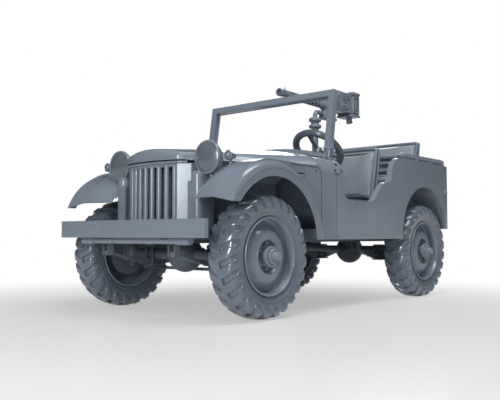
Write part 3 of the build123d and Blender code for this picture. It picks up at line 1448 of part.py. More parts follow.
with BuildPart() as gun_body:
    for rear, front, low, top, half in GUN_BLOCKS:
        with BuildSketch(gun_side.offset(-half)):
            with Locations(((rear + front) / 2, (low + top) / 2)):
                Rectangle(front - rear, top - low)
        extrude(amount=2 * half)
    # round grip below the box
    grip = Plane(
        origin=(POST_X + GRIP_AT, POST_Y, TRUNNION_Z + GUN_LOW - 4),
        x_dir=(0, 1, 0),
        z_dir=(-sin(radians(GRIP_LEAN)), 0, -cos(radians(GRIP_LEAN))),
    )
    with BuildSketch(grip):
        Circle(GRIP_R)
    extrude(amount=GRIP_LEN)
    # lug on the trunnion
    with BuildSketch(gun_side.offset(-FORK_IN + 3)):
        with Locations((TRUNNION_BACK, GUN_LOW / 2 + 1)):
            Rectangle(2 * LUG_HALF, GUN_LOW + 2)
        with Locations((TRUNNION_BACK, 0)):
            Circle(LUG_HALF)
            Circle(TRUNNION_R + RUN_FIT, mode=Mode.SUBTRACT)
    extrude(amount=2 * FORK_IN - 6)
    # barrel jacket and muzzle with a blind recess
    muzzle_mid = (POST_X + MUZZLE, POST_Y, TRUNNION_Z + JACKET_RISE)
    muzzle = Plane(origin=muzzle_mid, x_dir=(0, 1, 0), z_dir=(-1, 0, 0))
    with BuildSketch(muzzle):
        Circle(JACKET_R)
    extrude(amount=MUZZLE - TRUNNION_BACK)
    with BuildSketch(muzzle):
        Circle(JACKET_BORE_R)
    extrude(amount=MUZZLE_DEPTH, mode=Mode.SUBTRACT)
finish_aimed(gun_body, "gun_body")
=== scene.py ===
"""Dresses the light open army car: paint, rubber, leather and glass, small hardware and a studio."""

from math import asin, cos, pi, radians, sin

import bmesh
import bpy
from mathutils import Euler, Matrix, Vector


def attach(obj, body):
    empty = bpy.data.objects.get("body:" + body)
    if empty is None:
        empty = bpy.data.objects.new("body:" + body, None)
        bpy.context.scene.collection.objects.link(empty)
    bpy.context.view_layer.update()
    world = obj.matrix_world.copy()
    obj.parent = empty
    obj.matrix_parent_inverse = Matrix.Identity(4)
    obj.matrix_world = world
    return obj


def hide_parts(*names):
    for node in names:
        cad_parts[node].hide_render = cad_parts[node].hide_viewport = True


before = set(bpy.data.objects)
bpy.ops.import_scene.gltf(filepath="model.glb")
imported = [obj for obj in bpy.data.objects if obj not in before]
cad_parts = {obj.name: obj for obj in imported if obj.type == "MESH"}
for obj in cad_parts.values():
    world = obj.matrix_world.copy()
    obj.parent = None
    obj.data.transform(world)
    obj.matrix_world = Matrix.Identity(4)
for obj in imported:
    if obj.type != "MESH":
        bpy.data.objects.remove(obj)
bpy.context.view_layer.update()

bl_info = {
    "name": "Army Field Car Dressing",
    "version": (1, 0, 0),
    "blender": (4, 5, 0),
    "location": "3D View > Sidebar > Field Car",
    "description": "Finishes and small hardware for an open four-wheel-drive army car",
    "category": "Object",
}

WHEELS = {
    # name: axle x, side
    "front_left": (1.05, 1),
    "front_right": (1.05, -1),
    "rear_left": (-1.05, 1),
    "rear_right": (-1.05, -1),
}
WHEEL_BODY = {
    "front_left": "wheel_fl",
    "front_right": "wheel_fr",
    "rear_left": "wheel_rl",
    "rear_right": "wheel_rr",
}
SIDES = ((1, "left"), (-1, "right"))
HALF_TRACK = 0.66
AXLE_Z = 0.39


# ---------------------------------------------------------------- user settings
def colour_property(name, description, value):
    return bpy.props.FloatVectorProperty(
        name=name, description=description, default=value, size=3, min=0.0, max=1.0, subtype="COLOR"
    )


def number_property(name, description, value, **more):
    return bpy.props.FloatProperty(name=name, description=description, default=value, **more)


class CarFinish(bpy.types.PropertyGroup):
    """Colours and gloss of the car."""

    paint: colour_property("Paint", "Main colour of body and chassis", (0.246, 0.292, 0.358))
    rubber: colour_property("Rubber", "Colour of the tyres", (0.158, 0.196, 0.250))
    leather: colour_property("Leather", "Colour of the seats", (0.370, 0.415, 0.480))
    # near-black for dark seams and bolts, and painted shade deep inside holes, slots and the radiator
    dark: colour_property("Dark", "Colour deep inside holes and slots", (0.020, 0.022, 0.026))
    paint_roughness: number_property(
        "Paint roughness", "Gloss of the paint", 0.28, min=0.0, max=1.0, subtype="FACTOR"
    )
    bolt_radius: number_property("Bolt radius", "Size of a body bolt head", 0.008, unit="LENGTH")


class CarStudio(bpy.types.PropertyGroup):
    """Camera, lamps and floor."""

    camera_place: bpy.props.FloatVectorProperty(
        name="Camera place",
        description="Where the camera stands",
        default=(4.30862, 3.34860, 0.51782),
        subtype="XYZ",
    )
    camera_heading: number_property("Heading", "Direction of view about Z", -2.437445, subtype="ANGLE")
    camera_pitch: number_property("Pitch", "Upward tilt of the view", 0.0527784, subtype="ANGLE")
    camera_lens: number_property("Lens", "Focal length in millimetres", 48.64)
    key_power: number_property("Key", "Main lamp's power in watts", 168.0)
    fill_power: number_property("Fill", "Side lamp's power in watts", 120.0)
    world_level: number_property("World", "Level of the world's light", 0.20)
    gloss_level: number_property("Gloss", "Level of the highlight strips", 1.0)


def finish_settings():
    return bpy.context.scene.car_finish


def studio_settings():
    return bpy.context.scene.car_studio


# ---------------------------------------------------------------- node helpers
class Nodes:
    """Short-hand for building a node tree."""

    def __init__(self, tree):
        self.tree = tree
        self.tree.nodes.clear()

    def add(self, kind, given=None, **values):
        """New node with its settings; each input is given as a value or as the socket to link."""
        node = self.tree.nodes.new(kind)
        for name, value in values.items():
            setattr(node, name, value)
        for name, value in (given or {}).items():
            if isinstance(value, bpy.types.NodeSocket):
                self.tree.links.new(value, node.inputs[name])
            else:
                node.inputs[name].default_value = value
        return node

    def math(self, operation, *terms):
        return self.add("ShaderNodeMath", dict(enumerate(terms)), operation=operation).outputs[0]


def surface_group():
    """Node group: slow colour change, fine grain and settled dust of a painted or moulded surface."""
    if "surface_life" in bpy.data.node_groups:
        return bpy.data.node_groups["surface_life"]
    tree = bpy.data.node_groups.new("surface_life", "ShaderNodeTree")
    for name, kind, value in (
        ("Colour", "NodeSocketColor", (0.2, 0.2, 0.2, 1.0)),
        ("Roughness", "NodeSocketFloat", 0.4),
        ("Change", "NodeSocketFloat", 0.12),
        ("Slow scale", "NodeSocketFloat", 2.4),
        ("Grain scale", "NodeSocketFloat", 260.0),
        ("Dust", "NodeSocketFloat", 0.2),
    ):
        tree.interface.new_socket(name, in_out="INPUT", socket_type=kind).default_value = value
    for name, kind in (("Colour", "Color"), ("Roughness", "Float"), ("Height", "Float")):
        tree.interface.new_socket(name, in_out="OUTPUT", socket_type=f"NodeSocket{kind}")
    n = Nodes(tree)
    given = n.add("NodeGroupInput").outputs
    place = n.add("ShaderNodeTexCoord").outputs["Object"]
    slow = n.add("ShaderNodeTexNoise", {"Detail": 4.0, "Vector": place, "Scale": given["Slow scale"]})
    slow = slow.outputs["Fac"]
    grain = n.add("ShaderNodeTexNoise", {"Detail": 2.0, "Vector": place, "Scale": given["Grain scale"]})
    # dust settles low down, where the wheels throw it
    height = n.add("ShaderNodeSeparateXYZ", {"Vector": place}).outputs["Z"]
    low = n.add("ShaderNodeMapRange", {"From Min": 0.75, "From Max": 0.15, "Value": height})
    dust = n.math("MULTIPLY", n.math("MULTIPLY", low.outputs["Result"], slow), given["Dust"])
    # lighter and darker stretches
    span = {"From Min": 0.3, "From Max": 0.7, "To Min": -1.0, "To Max": 1.0, "Value": slow}
    centred = n.add("ShaderNodeMapRange", span).outputs["Result"]
    swing = n.math("MULTIPLY_ADD", centred, given["Change"], 1.0)
    shade = {"Fac": 1.0, "Color1": given["Colour"], "Color2": swing}
    shade = n.add("ShaderNodeMixRGB", shade, blend_type="MULTIPLY").outputs["Color"]
    dusty = {"Fac": dust, "Color1": shade, "Color2": (0.30, 0.31, 0.32, 1.0)}
    dusty = n.add("ShaderNodeMixRGB", dusty, blend_type="MIX").outputs["Color"]
    rough = n.math("ADD", n.math("MULTIPLY_ADD", centred, 0.04, given["Roughness"]), dust)
    n.add("NodeGroupOutput", {"Colour": dusty, "Roughness": rough, "Height": grain.outputs["Fac"]})
    return tree


def life_material(name, colour, roughness, *, change, slow, grain, dust, bump, depth, coat=0.0):
    """Material whose colour, gloss and relief come from the shared surface group."""
    if name in bpy.data.materials:
        return bpy.data.materials[name]
    material = bpy.data.materials.new(name)
    material.use_nodes = True
    n = Nodes(material.node_tree)
    settings = {"Colour": (*colour, 1.0), "Roughness": roughness, "Change": change, "Dust": dust}
    settings |= {"Slow scale": slow, "Grain scale": grain}
    life = n.add("ShaderNodeGroup", settings, node_tree=surface_group())
    soft_edge = n.add("ShaderNodeBevel", {"Radius": 0.003}, samples=4)
    relief = {"Normal": soft_edge.outputs["Normal"], "Strength": bump, "Distance": depth}
    relief = n.add("ShaderNodeBump", {**relief, "Height": life.outputs["Height"]})
    shader = n.add("ShaderNodeBsdfPrincipled", {
        "Base Color": life.outputs["Colour"],
        "Roughness": life.outputs["Roughness"],
        "Normal": relief.outputs["Normal"],
        "Specular Tint": (0.74, 0.87, 1.0, 1.0),
        "Coat Weight": coat,
        "Coat Roughness": 0.2,
    })
    n.add("ShaderNodeOutputMaterial", {"Surface": shader.outputs["BSDF"]})
    return material


def paint_tone(share):
    return [channel * share for channel in finish_settings().paint]


def body_paint():
    look = finish_settings()
    return life_material(
        "body_finish", look.paint, look.paint_roughness,
        change=0.06, slow=1.8, grain=420.0, dust=0.03, bump=0.03, depth=0.0005, coat=0.6,
    )


def chassis_paint():
    return life_material(
        "chassis_finish", paint_tone(0.62), 0.4,
        change=0.14, slow=5.0, grain=300.0, dust=0.22, bump=0.12, depth=0.001,
    )


def hardware_paint():
    return life_material(
        "hardware_finish", paint_tone(1.0), 0.2,
        change=0.05, slow=9.0, grain=500.0, dust=0.02, bump=0.03, depth=0.0003, coat=0.5,
    )


def tyre_rubber():
    return life_material(
        "tyre_finish", finish_settings().rubber, 0.18,
        change=0.12, slow=6.0, grain=340.0, dust=0.0, bump=0.03, depth=0.0005, coat=1.0,
    )


def seat_leather():
    return life_material(
        "seat_finish", finish_settings().leather, 0.32,
        change=0.08, slow=4.0, grain=170.0, dust=0.02, bump=0.14, depth=0.0010, coat=0.3,
    )


def rim_plastic():
    return life_material(
        "rim_finish", paint_tone(0.52), 0.20,
        change=0.05, slow=9.0, grain=600.0, dust=0.0, bump=0.04, depth=0.0003, coat=0.3,
    )


def gun_paint():
    return life_material(
        "gun_finish", paint_tone(0.86), 0.22,
        change=0.07, slow=8.0, grain=480.0, dust=0.0, bump=0.03, depth=0.0003, coat=0.5,
    )


# near-black material: dark seams and bolts, and painted shade deep inside holes, slots and the radiator's
# core
def seam_dark_and_hole_shade():
    return life_material(
        "seam_dark_and_hole_shade_finish", finish_settings().dark, 0.8,
        change=0.1, slow=8.0, grain=200.0, dust=0.0, bump=0.1, depth=0.0005,
    )


def lamp_glass():
    """Tinted moulded glass."""
    if "lamp_finish" in bpy.data.materials:
        return bpy.data.materials["lamp_finish"]
    colour = paint_tone(0.58)
    material = bpy.data.materials.new("lamp_finish")
    material.use_nodes = True
    n = Nodes(material.node_tree)
    settings = {"Colour": (*colour, 1.0), "Roughness": 0.24, "Change": 0.04, "Dust": 0.0}
    life = n.add("ShaderNodeGroup", settings, node_tree=surface_group())
    shader = n.add("ShaderNodeBsdfPrincipled", {
        "Base Color": life.outputs["Colour"],
        "Roughness": life.outputs["Roughness"],
        "Coat Weight": 0.7,
        "Coat Roughness": 0.16,
    })
    n.add("ShaderNodeOutputMaterial", {"Surface": shader.outputs["BSDF"]})
    return material


# ---------------------------------------------------------------- mesh helpers
def piece_from(bm, name, material, body, smooth=35.0):
    """Object made from a bmesh, closed, shaded and riding on a body."""
    bmesh.ops.recalc_face_normals(bm, faces=bm.faces)
    mesh = bpy.data.meshes.new(name)
    bm.to_mesh(mesh)
    bm.free()
    mesh.materials.append(material)
    piece = bpy.data.objects.new(name, mesh)
    bpy.context.scene.collection.objects.link(piece)
    for face in mesh.polygons:
        face.use_smooth = True
    mesh.set_sharp_from_angle(angle=radians(smooth))
    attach(piece, body)
    return piece


def place(at, toward=(0, 0, 1)):
    """Matrix that moves a shape made along +Z to a point and a direction."""
    return Matrix.Translation(at) @ Vector(toward).normalized().to_track_quat("Z", "Y").to_matrix().to_4x4()


def turns_round(count):
    """Angles that share a full turn equally."""
    return [2 * pi * step / count for step in range(count)]


def add_turned(bm, outline, matrix, steps=32):
    """Closed solid of revolution about local Z from (radius, height) points, first and last on the axis."""
    verts = [bm.verts.new((radius, 0, height)) for radius, height in outline]
    edges = [bm.edges.new(pair) for pair in zip(verts, verts[1:])]
    spun = bmesh.ops.spin(
        bm, geom=verts + edges, cent=(0, 0, 0), axis=(0, 0, 1), angle=2 * pi, steps=steps, use_merge=True
    )
    fresh = {v for v in spun["geom_last"] if isinstance(v, bmesh.types.BMVert)}
    linked = set()
    stack = list(fresh | set(verts))
    while stack:
        vert = stack.pop()
        if vert in linked or not vert.is_valid:
            continue
        linked.add(vert)
        stack.extend(edge.other_vert(vert) for edge in vert.link_edges)
    linked = list(linked)
    bmesh.ops.remove_doubles(bm, verts=linked, dist=1e-6)
    linked = [vert for vert in linked if vert.is_valid]
    bmesh.ops.transform(bm, matrix=matrix, verts=linked)
    return linked


def round_edges(bm, edges, radius, segments):
    bmesh.ops.bevel(
        bm, geom=list(edges), offset=radius, segments=segments, profile=0.5, affect="EDGES", material=-1
    )


def add_box(bm, centre, size, bevel=0.0, turn=None, segments=2):
    """Box with rounded edges."""
    matrix = Matrix.Translation(centre)
    if turn is not None:
        matrix = matrix @ turn
    made = bmesh.ops.create_cube(bm, size=1.0, matrix=matrix @ Matrix.Diagonal((*size, 1.0)))
    if bevel > 0.0:
        edges = {edge for vert in made["verts"] for edge in vert.link_edges}
        round_edges(bm, edges, bevel, segments)


def add_bolt(bm, at, toward, radius, height=None, dome=True):
    """Round-headed bolt or hexagon head that stands on a surface."""
    height = radius * 0.55 if height is None else height
    sunk = -height * 0.5
    edge, top, top_height, steps = (0.25, 0.8, 0.75, 12) if dome else (0.85, 0.88, 1.0, 6)
    outline = [(0, sunk), (radius, sunk), (radius, height * edge)]
    outline += [(radius * top, height * top_height), (0, height)]
    add_turned(bm, outline, place(at, toward), steps=steps)


def smooth_path(points, steps=6):
    """Points of a smooth curve through the given ones (Catmull-Rom)."""
    points = [Vector(point) for point in points]
    ends = [2 * points[0] - points[1], *points, 2 * points[-1] - points[-2]]
    path = []
    for a, b, c, d in zip(ends, ends[1:], ends[2:], ends[3:]):
        for step in range(steps):
            t = step / steps
            bend = (2 * a - 5 * b + 4 * c - d) * t**2 + (3 * b - a - 3 * c + d) * t**3
            path.append(0.5 * (2 * b + (c - a) * t + bend))
    return [*path, points[-1]]


def add_skin(bm, rings, closed_along=False):
    """Closed surface through rings of equally many points; its ends are capped unless it closes on itself."""
    rows = [[bm.verts.new(point) for point in ring] for ring in rings]
    pairs = list(zip(rows, rows[1:]))
    if closed_along:
        pairs.append((rows[-1], rows[0]))
    for row, following in pairs:
        for index in range(len(row)):
            after = (index + 1) % len(row)
            bm.faces.new((row[index], row[after], following[after], following[index]))
    if not closed_along:
        bm.faces.new(rows[0])
        bm.faces.new(rows[-1])


def add_tube(bm, path, radius, sides=8, up=(0, 0, 1), closed=False):
    """Round bar along a path."""
    path = [Vector(point) for point in path]
    up = Vector(up)
    rings = []
    count = len(path)
    for index, point in enumerate(path):
        before = path[index - 1] if index or closed else point
        after = path[(index + 1) % count] if index < count - 1 or closed else point
        along = (after - before).normalized()
        across = along.cross(up)
        if across.length < 1e-4:
            across = along.cross(Vector((1, 0, 0)))
        across.normalize()
        rise = across.cross(along)
        turned = [cos(turn) * across + sin(turn) * rise for turn in turns_round(sides)]
        rings.append([point + radius * arm for arm in turned])
    add_skin(bm, rings, closed_along=closed)


def add_plate(bm, outline, thickness, bevel=0.0):
    """Flat plate with rounded edges, from a closed outline in the plane at the middle of its thickness."""
    outline = [Vector(point) for point in outline]
    normal = Vector((0, 0, 0))
    for a, b in zip(outline, outline[1:] + outline[:1]):
        normal += a.cross(b)
    normal.normalize()
    low = [bm.verts.new(point - normal * thickness / 2) for point in outline]
    high = [bm.verts.new(point + normal * thickness / 2) for point in outline]
    caps = [bm.faces.new(list(reversed(low))), bm.faces.new(high)]
    for index in range(len(outline)):
        after = (index + 1) % len(outline)
        bm.faces.new((low[index], low[after], high[after], high[index]))
    if bevel > 0.0:
        edges = {edge for cap in caps for edge in cap.edges}
        round_edges(bm, edges, bevel, 2)


# ---------------------------------------------------------------- tyres
# carcass from the middle of the tread to the bead: half width, radius
TYRE_PROFILE = (
    (0.000, 0.3745),
    (0.040, 0.3730),
    (0.070, 0.3670),
    (0.086, 0.3570),
    (0.0945, 0.3420),
    (0.0975, 0.3200),
    (0.0965, 0.2960),
    (0.0935, 0.2800),
    (0.0905, 0.2760),
    (0.0890, 0.2640),
    (0.0840, 0.2520),
    (0.0790, 0.2470),
    (0.0790, 0.2380),
)
LUG_COUNT = 24
LUG_W = 0.064
LUG_DEPTH = 0.0155
LUG_LEAN = 0.052
LUG_ROUND = 0.006
TREAD_STEPS = 120


def profile_at(share, profile):
    """Point and outward direction on a tyre profile, by share of its length."""
    spot = share * (len(profile) - 1)
    index = min(int(spot), len(profile) - 2)
    rest = spot - index
    here, after = profile[index], profile[index + 1]
    point = here.lerp(after, rest)
    along = (after - here).normalized()
    return point, Vector((-along.y, along.x))


def lug_rings(side, start, profile):
    """Rings of one lug, from the middle of the tread to its end on the side wall."""
    rows = []
    # share of the profile, height of the top as a share of the lug's depth, width
    table = (
        (-0.035, 0.02, 0.90),
        (-0.030, 0.90, 0.94),
        (0.005, 1.00, 1.00),
        (0.10, 1.00, 1.00),
        (0.20, 0.98, 1.00),
        (0.27, 0.90, 1.00),
        (0.32, 0.72, 1.00),
        (0.365, 0.50, 0.99),
        (0.405, 0.30, 0.96),
        (0.44, 0.15, 0.90),
        (0.47, -0.05, 0.80),
    )
    for share, rise, width in table:
        point, out = profile_at(abs(share), profile)
        y = point.x if share >= 0 else -point.x
        half = LUG_W * width / 2
        lean = LUG_LEAN * (share / 0.30 if share < 0.30 else 1.0 + 0.25 * (share - 0.30) / 0.16)
        ring = []
        for across, height in (
            (-half - 0.002, -0.004),
            (-half, LUG_DEPTH * rise * 0.35),
            (-half + LUG_ROUND * 0.8, LUG_DEPTH * rise * 0.86),
            (-half + LUG_ROUND * 1.9, LUG_DEPTH * rise),
            (half - LUG_ROUND * 1.9, LUG_DEPTH * rise),
            (half - LUG_ROUND * 0.8, LUG_DEPTH * rise * 0.86),
            (half, LUG_DEPTH * rise * 0.35),
            (half + 0.002, -0.004),
            (half, -0.009),
            (-half, -0.009),
        ):
            radius = point.y + out.y * height
            out_y = y + (out.x * height if share >= 0 else -out.x * height)
            angle = start + (lean + across) / 0.37
            ring.append(Vector((radius * cos(angle), side * out_y, radius * sin(angle))))
        rows.append(ring)
    return rows


def make_tyre(name):
    """Tyre with a rounded carcass, interleaved chevron lugs and small nubs on both side walls."""
    x, side = WHEELS[name]
    profile = smooth_path([Vector((half, radius, 0)) for half, radius in TYRE_PROFILE], steps=3)
    profile = [Vector((point.x, point.y)) for point in profile]
    bm = bmesh.new()
    section = [*profile, *(Vector((-point.x, point.y)) for point in reversed(profile[1:]))]
    rings = []
    for turn in range(TREAD_STEPS):
        angle = 2 * pi * turn / TREAD_STEPS
        rings.append([Vector((point.y * cos(angle), point.x, point.y * sin(angle))) for point in section])
    add_skin(bm, rings, closed_along=True)
    pitch = 2 * pi / LUG_COUNT
    for turn in range(LUG_COUNT):
        add_skin(bm, lug_rings(1, turn * pitch, profile))
        add_skin(bm, lug_rings(-1, (turn + 0.5) * pitch, profile))
    for turn in range(2 * LUG_COUNT):
        for hand in (1, -1):
            angle = (turn + 0.25) * pitch / 2
            at = (0.329 * cos(angle), hand * 0.0970, 0.329 * sin(angle))
            nub = [(0, -0.003), (0.0055, -0.003), (0.0045, 0.0015), (0, 0.0026)]
            add_turned(bm, nub, place(at, (0, hand, 0)), steps=8)
    bmesh.ops.translate(bm, verts=bm.verts, vec=(x, side * HALF_TRACK, AXLE_Z))
    piece = piece_from(bm, f"lugged_tyre_{name}", tyre_rubber(), WHEEL_BODY[name], smooth=40.0)
    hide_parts(f"tyre_{name}")


# ---------------------------------------------------------------- pieces
def finish_nodes():
    """Give every CAD node its material."""
    table = {
        "chassis_paint": (chassis_paint, (
            "chassis_frame", "front_springs", "rear_springs", "front_axle", "rear_axle", "knuckle_left",
            "knuckle_right", "tie_rod", "drive_shafts", "exhaust", "gearbox", "engine_block", "radiator_core",
            "tow_hook",
        )),
        "rubber": (tyre_rubber, tuple(f"tyre_{name}" for name in WHEELS)),
        "leather": (seat_leather, ("front_cushions", "rear_seat")),
        "plastic": (rim_plastic, ("steering_wheel",)),
        "glass": (lamp_glass, ("lamp_lenses",)),
        "gun": (gun_paint, ("gun_post", "gun_cradle", "gun_body")),
    }
    special = {node: make for make, nodes in table.values() for node in nodes}
    for name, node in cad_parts.items():
        material = special.get(name, body_paint)()
        if not node.material_slots:
            node.data.materials.append(material)
        for material_slot in node.material_slots:
            material_slot.material = material


def wheel_point(name, radius, angle, out):
    """Point on a wheel: radius and angle about its axle, out from its middle plane."""
    x, side = WHEELS[name]
    return (x + radius * cos(angle), side * (HALF_TRACK + out), AXLE_Z + radius * sin(angle))


def make_wheel_hardware(name):
    """Rim beads, hub flange with its bolts, wheel nuts and valve of one wheel."""
    _, side = WHEELS[name]
    out = (0, side, 0)
    bm = bmesh.new()
    for radius, depth, thick in ((0.2415, 0.0905, 0.0042), (0.229, 0.0735, 0.0034), (0.110, 0.0745, 0.0028)):
        ring = [wheel_point(name, radius, turn, depth) for turn in turns_round(72)]
        add_tube(bm, ring, thick, sides=8, up=out, closed=True)
    flange = [(0, 0), (0.062, 0), (0.066, 0.003), (0.066, 0.010), (0.062, 0.013), (0.047, 0.015), (0, 0.015)]
    add_turned(bm, flange, place(wheel_point(name, 0, 0, 0.088), out), steps=48)
    collar = [(0, 0), (0.0485, 0), (0.0505, 0.003), (0.0505, 0.010), (0.047, 0.0135)]
    collar += [(0.034, 0.0145), (0, 0.0145)]
    add_turned(bm, collar, place(wheel_point(name, 0, 0, 0.1095), out), steps=48)
    cap = [(0, 0), (0.0285, 0), (0.0285, 0.026), (0.0265, 0.031), (0.019, 0.0345)]
    cap += [(0.008, 0.0358), (0, 0.036)]
    add_turned(bm, cap, place(wheel_point(name, 0, 0, 0.1235), out), steps=40)
    for turn in range(6):
        angle = turn * pi / 3 + pi / 6
        at = wheel_point(name, 0.078, angle, 0.034)
        add_turned(bm, [(0, 0), (0.018, 0), (0.016, 0.005), (0, 0.005)], place(at, out), steps=20)
        add_bolt(bm, at, out, 0.0125, height=0.024, dome=False)
    for turn in range(8):
        add_bolt(bm, wheel_point(name, 0.0565, turn * pi / 4, 0.102), out, 0.0052, height=0.006, dome=False)
    for turn in range(6):
        add_bolt(bm, wheel_point(name, 0.040, turn * pi / 3, 0.1235), out, 0.0042, height=0.004)
    valve = [wheel_point(name, 0.208, 0.6, depth) for depth in (0.028, 0.045, 0.062)]
    add_tube(bm, valve, 0.004, sides=10)
    piece_from(bm, f"wheel_hardware_{name}", hardware_paint(), WHEEL_BODY[name])


# ---------------------------------------------------------------- body sides
WALL_Y = 0.760
WALL_IN_Y = 0.715
REAR_X = -1.494
SILL_Z = 0.492
ARCH = (-1.05, 0.528, 0.403)
# inner and outer line of the cut-out, with its rounded steps: x, z
DOOR_LINE = (
    (-0.600, 1.143),
    (-0.560, 1.132),
    (-0.524, 1.108),
    (-0.494, 1.074),
    (-0.474, 1.024),
    (-0.460, 0.975),
    (-0.448, 0.950),
    (-0.428, 0.939),
    (-0.380, 0.935),
    (-0.335, 0.920),
    (-0.285, 0.884),
    (-0.243, 0.841),
    (-0.203, 0.799),
    (-0.158, 0.777),
    (-0.095, 0.7715),
    (0.020, 0.7705),
    (0.145, 0.7715),
    (0.205, 0.792),
    (0.243, 0.834),
    (0.264, 0.898),
    (0.281, 0.9672),
)


def side_wall_outline():
    """Outline of a body side, in X and Z."""
    arch_x, arch_z, arch_r = ARCH
    door = [(point.x, point.y) for point in smooth_path([(x, z, 0) for x, z in DOOR_LINE], steps=3)]
    low_front = asin((SILL_Z - arch_z) / arch_r)
    low_rear = pi - asin((0.578 - arch_z) / arch_r)
    arch = [
        (arch_x + arch_r * cos(turn), arch_z + arch_r * sin(turn))
        for turn in (low_rear + (low_front - low_rear) * step / 40 for step in range(41))
    ]
    return [(0.324, SILL_Z), (0.324, 0.9672), *reversed(door), (REAR_X, 1.143), (REAR_X, 0.578), *arch]


def make_side(side, hand):
    """Body side with rounded edges, rolled cut-out and the wheel house behind it."""
    bm = bmesh.new()
    outline = [(x, side * (WALL_Y + WALL_IN_Y) / 2, z) for x, z in side_wall_outline()]
    add_plate(bm, outline, WALL_Y - WALL_IN_Y, bevel=0.0035)
    # wheel house: a curved shell with a flat inner wall
    arch_x, arch_z, _ = ARCH
    lip_y = WALL_IN_Y + 0.001
    house_rear = REAR_X + 0.0455
    turns = [0.0667 + (pi - 2 * 0.0667) * step / 32 for step in range(33)]
    rings = []
    for turn in turns:
        ring = []
        for radius, y in ((0.412, lip_y), (0.412, 0.506), (0.417, 0.500), (0.417, lip_y)):
            x = max(arch_x + radius * cos(turn), house_rear)
            ring.append((x, side * y, arch_z + radius * sin(turn)))
        rings.append(ring)
    add_skin(bm, rings)
    wall = [(arch_x + 0.4165 * cos(turn), arch_z + 0.4165 * sin(turn)) for turn in turns]
    add_plate(bm, [(max(x, house_rear), side * 0.5025, z) for x, z in wall], 0.005)
    piece = piece_from(bm, f"body_side_panel_{hand}", body_paint(), "car", smooth=30.0)
    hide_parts(f"body_side_{hand}")


def make_side_trim():
    """Bolts, latch knobs, seam strips, and slots drawn as near-black strips of painted shade, on both sides.
    """
    radius = finish_settings().bolt_radius
    bolts = bmesh.new()
    dark = bmesh.new()
    for side, _ in SIDES:
        out = (0, side, 0)
        for x, z in ((-0.700, 1.112), (-1.020, 1.112), (-1.390, 1.112), (-1.452, 1.08), (-1.452, 0.66)):
            add_bolt(bolts, (x, side * WALL_Y, z), out, radius * 0.8)
        for x, z in ((0.300, 0.520), (0.300, 0.930), (0.352, 0.520)):
            add_bolt(bolts, (x, side * WALL_Y, z), out, radius * 0.7)
        # latch knob at the rear corner
        knob = [(0, -0.004), (0.020, -0.004), (0.021, 0.004), (0.016, 0.010), (0.010, 0.012)]
        knob += [(0.009, 0.018), (0, 0.020)]
        add_turned(bolts, knob, place((-1.452, side * WALL_Y, 0.905), out), steps=24)
        # seams between side, cowl and fender
        seam_y = side * (WALL_Y - 0.0006)
        add_tube(dark, [(0.324, seam_y, z) for z in (SILL_Z + 0.003, 0.73, 0.966)], 0.0019, sides=6)
        line = [(0.512, SILL_Z + 0.003), (0.512, 0.70), (0.5125, 0.90), (0.518, 0.942), (0.538, 0.968)]
        line += [(0.572, 0.9765), (0.66, 0.978), (0.86, 0.9785)]
        add_tube(dark, smooth_path([(x, seam_y, z) for x, z in line]), 0.0024, sides=6)
        # the slot is a near-black strip, painted shade where the slot's opening would be
        add_box(dark, (0.755, side * (WALL_Y + 0.0002), 0.9250), (0.092, 0.0016, 0.008), bevel=0.0006)
        add_bolt(dark, (0.576, side * WALL_Y, 0.951), out, radius * 0.8)
    piece_from(bolts, "body_bolts", hardware_paint(), "car")
    piece_from(dark, "body_seams", seam_dark_and_hole_shade(), "car")


def make_gauges():
    """Round dials with plain ticks on the dashboard, switches and grab handle."""
    bm = bmesh.new()
    face = 0.2318
    dials = ((0.34, 1.045, 0.045), (0.225, 1.052, 0.030), (0.145, 1.056, 0.030), (0.065, 1.058, 0.030))
    for y, z, radius in dials:
        rim = ((0, -0.002), (1, -0.002), (1, 0.008), (0.94, 0.011), (0.86, 0.008), (0.84, 0.003), (0, 0.003))
        bezel = [(radius * share, height) for share, height in rim]
        add_turned(bm, bezel, place((face, y, z), (-1, 0, 0)), steps=40)
        for tick in range(9):
            angle = radians(-120 + 30 * tick)
            turn = Matrix.Rotation(angle, 4, "X")
            at = Vector((face - 0.0032, y, z)) + turn @ Vector((0, 0, radius * 0.66))
            add_box(bm, at, (0.001, 0.0014, radius * 0.18), turn=turn)
        needle = Matrix.Rotation(radians(-40), 4, "X")
        at = Vector((face - 0.0045, y, z)) + needle @ Vector((0, 0, radius * 0.25))
        add_box(bm, at, (0.0012, 0.0016, radius * 0.7), turn=needle)
    for y in (-0.02, -0.06, -0.10):
        knob = [(0, 0), (0.004, 0), (0.004, 0.012), (0.011, 0.014), (0.012, 0.022)]
        knob += [(0.007, 0.026), (0, 0.026)]
        add_turned(bm, knob, place((face, y, 1.03), (-1, 0, 0)), steps=20)
    handle = ((0.004, -0.56), (-0.05, -0.54), (-0.055, -0.44), (-0.05, -0.34), (0.004, -0.32))
    add_tube(bm, smooth_path([(face + x, y, 1.035) for x, y in handle]), 0.009, sides=12)
    piece_from(bm, "dash_fittings", hardware_paint(), "car")


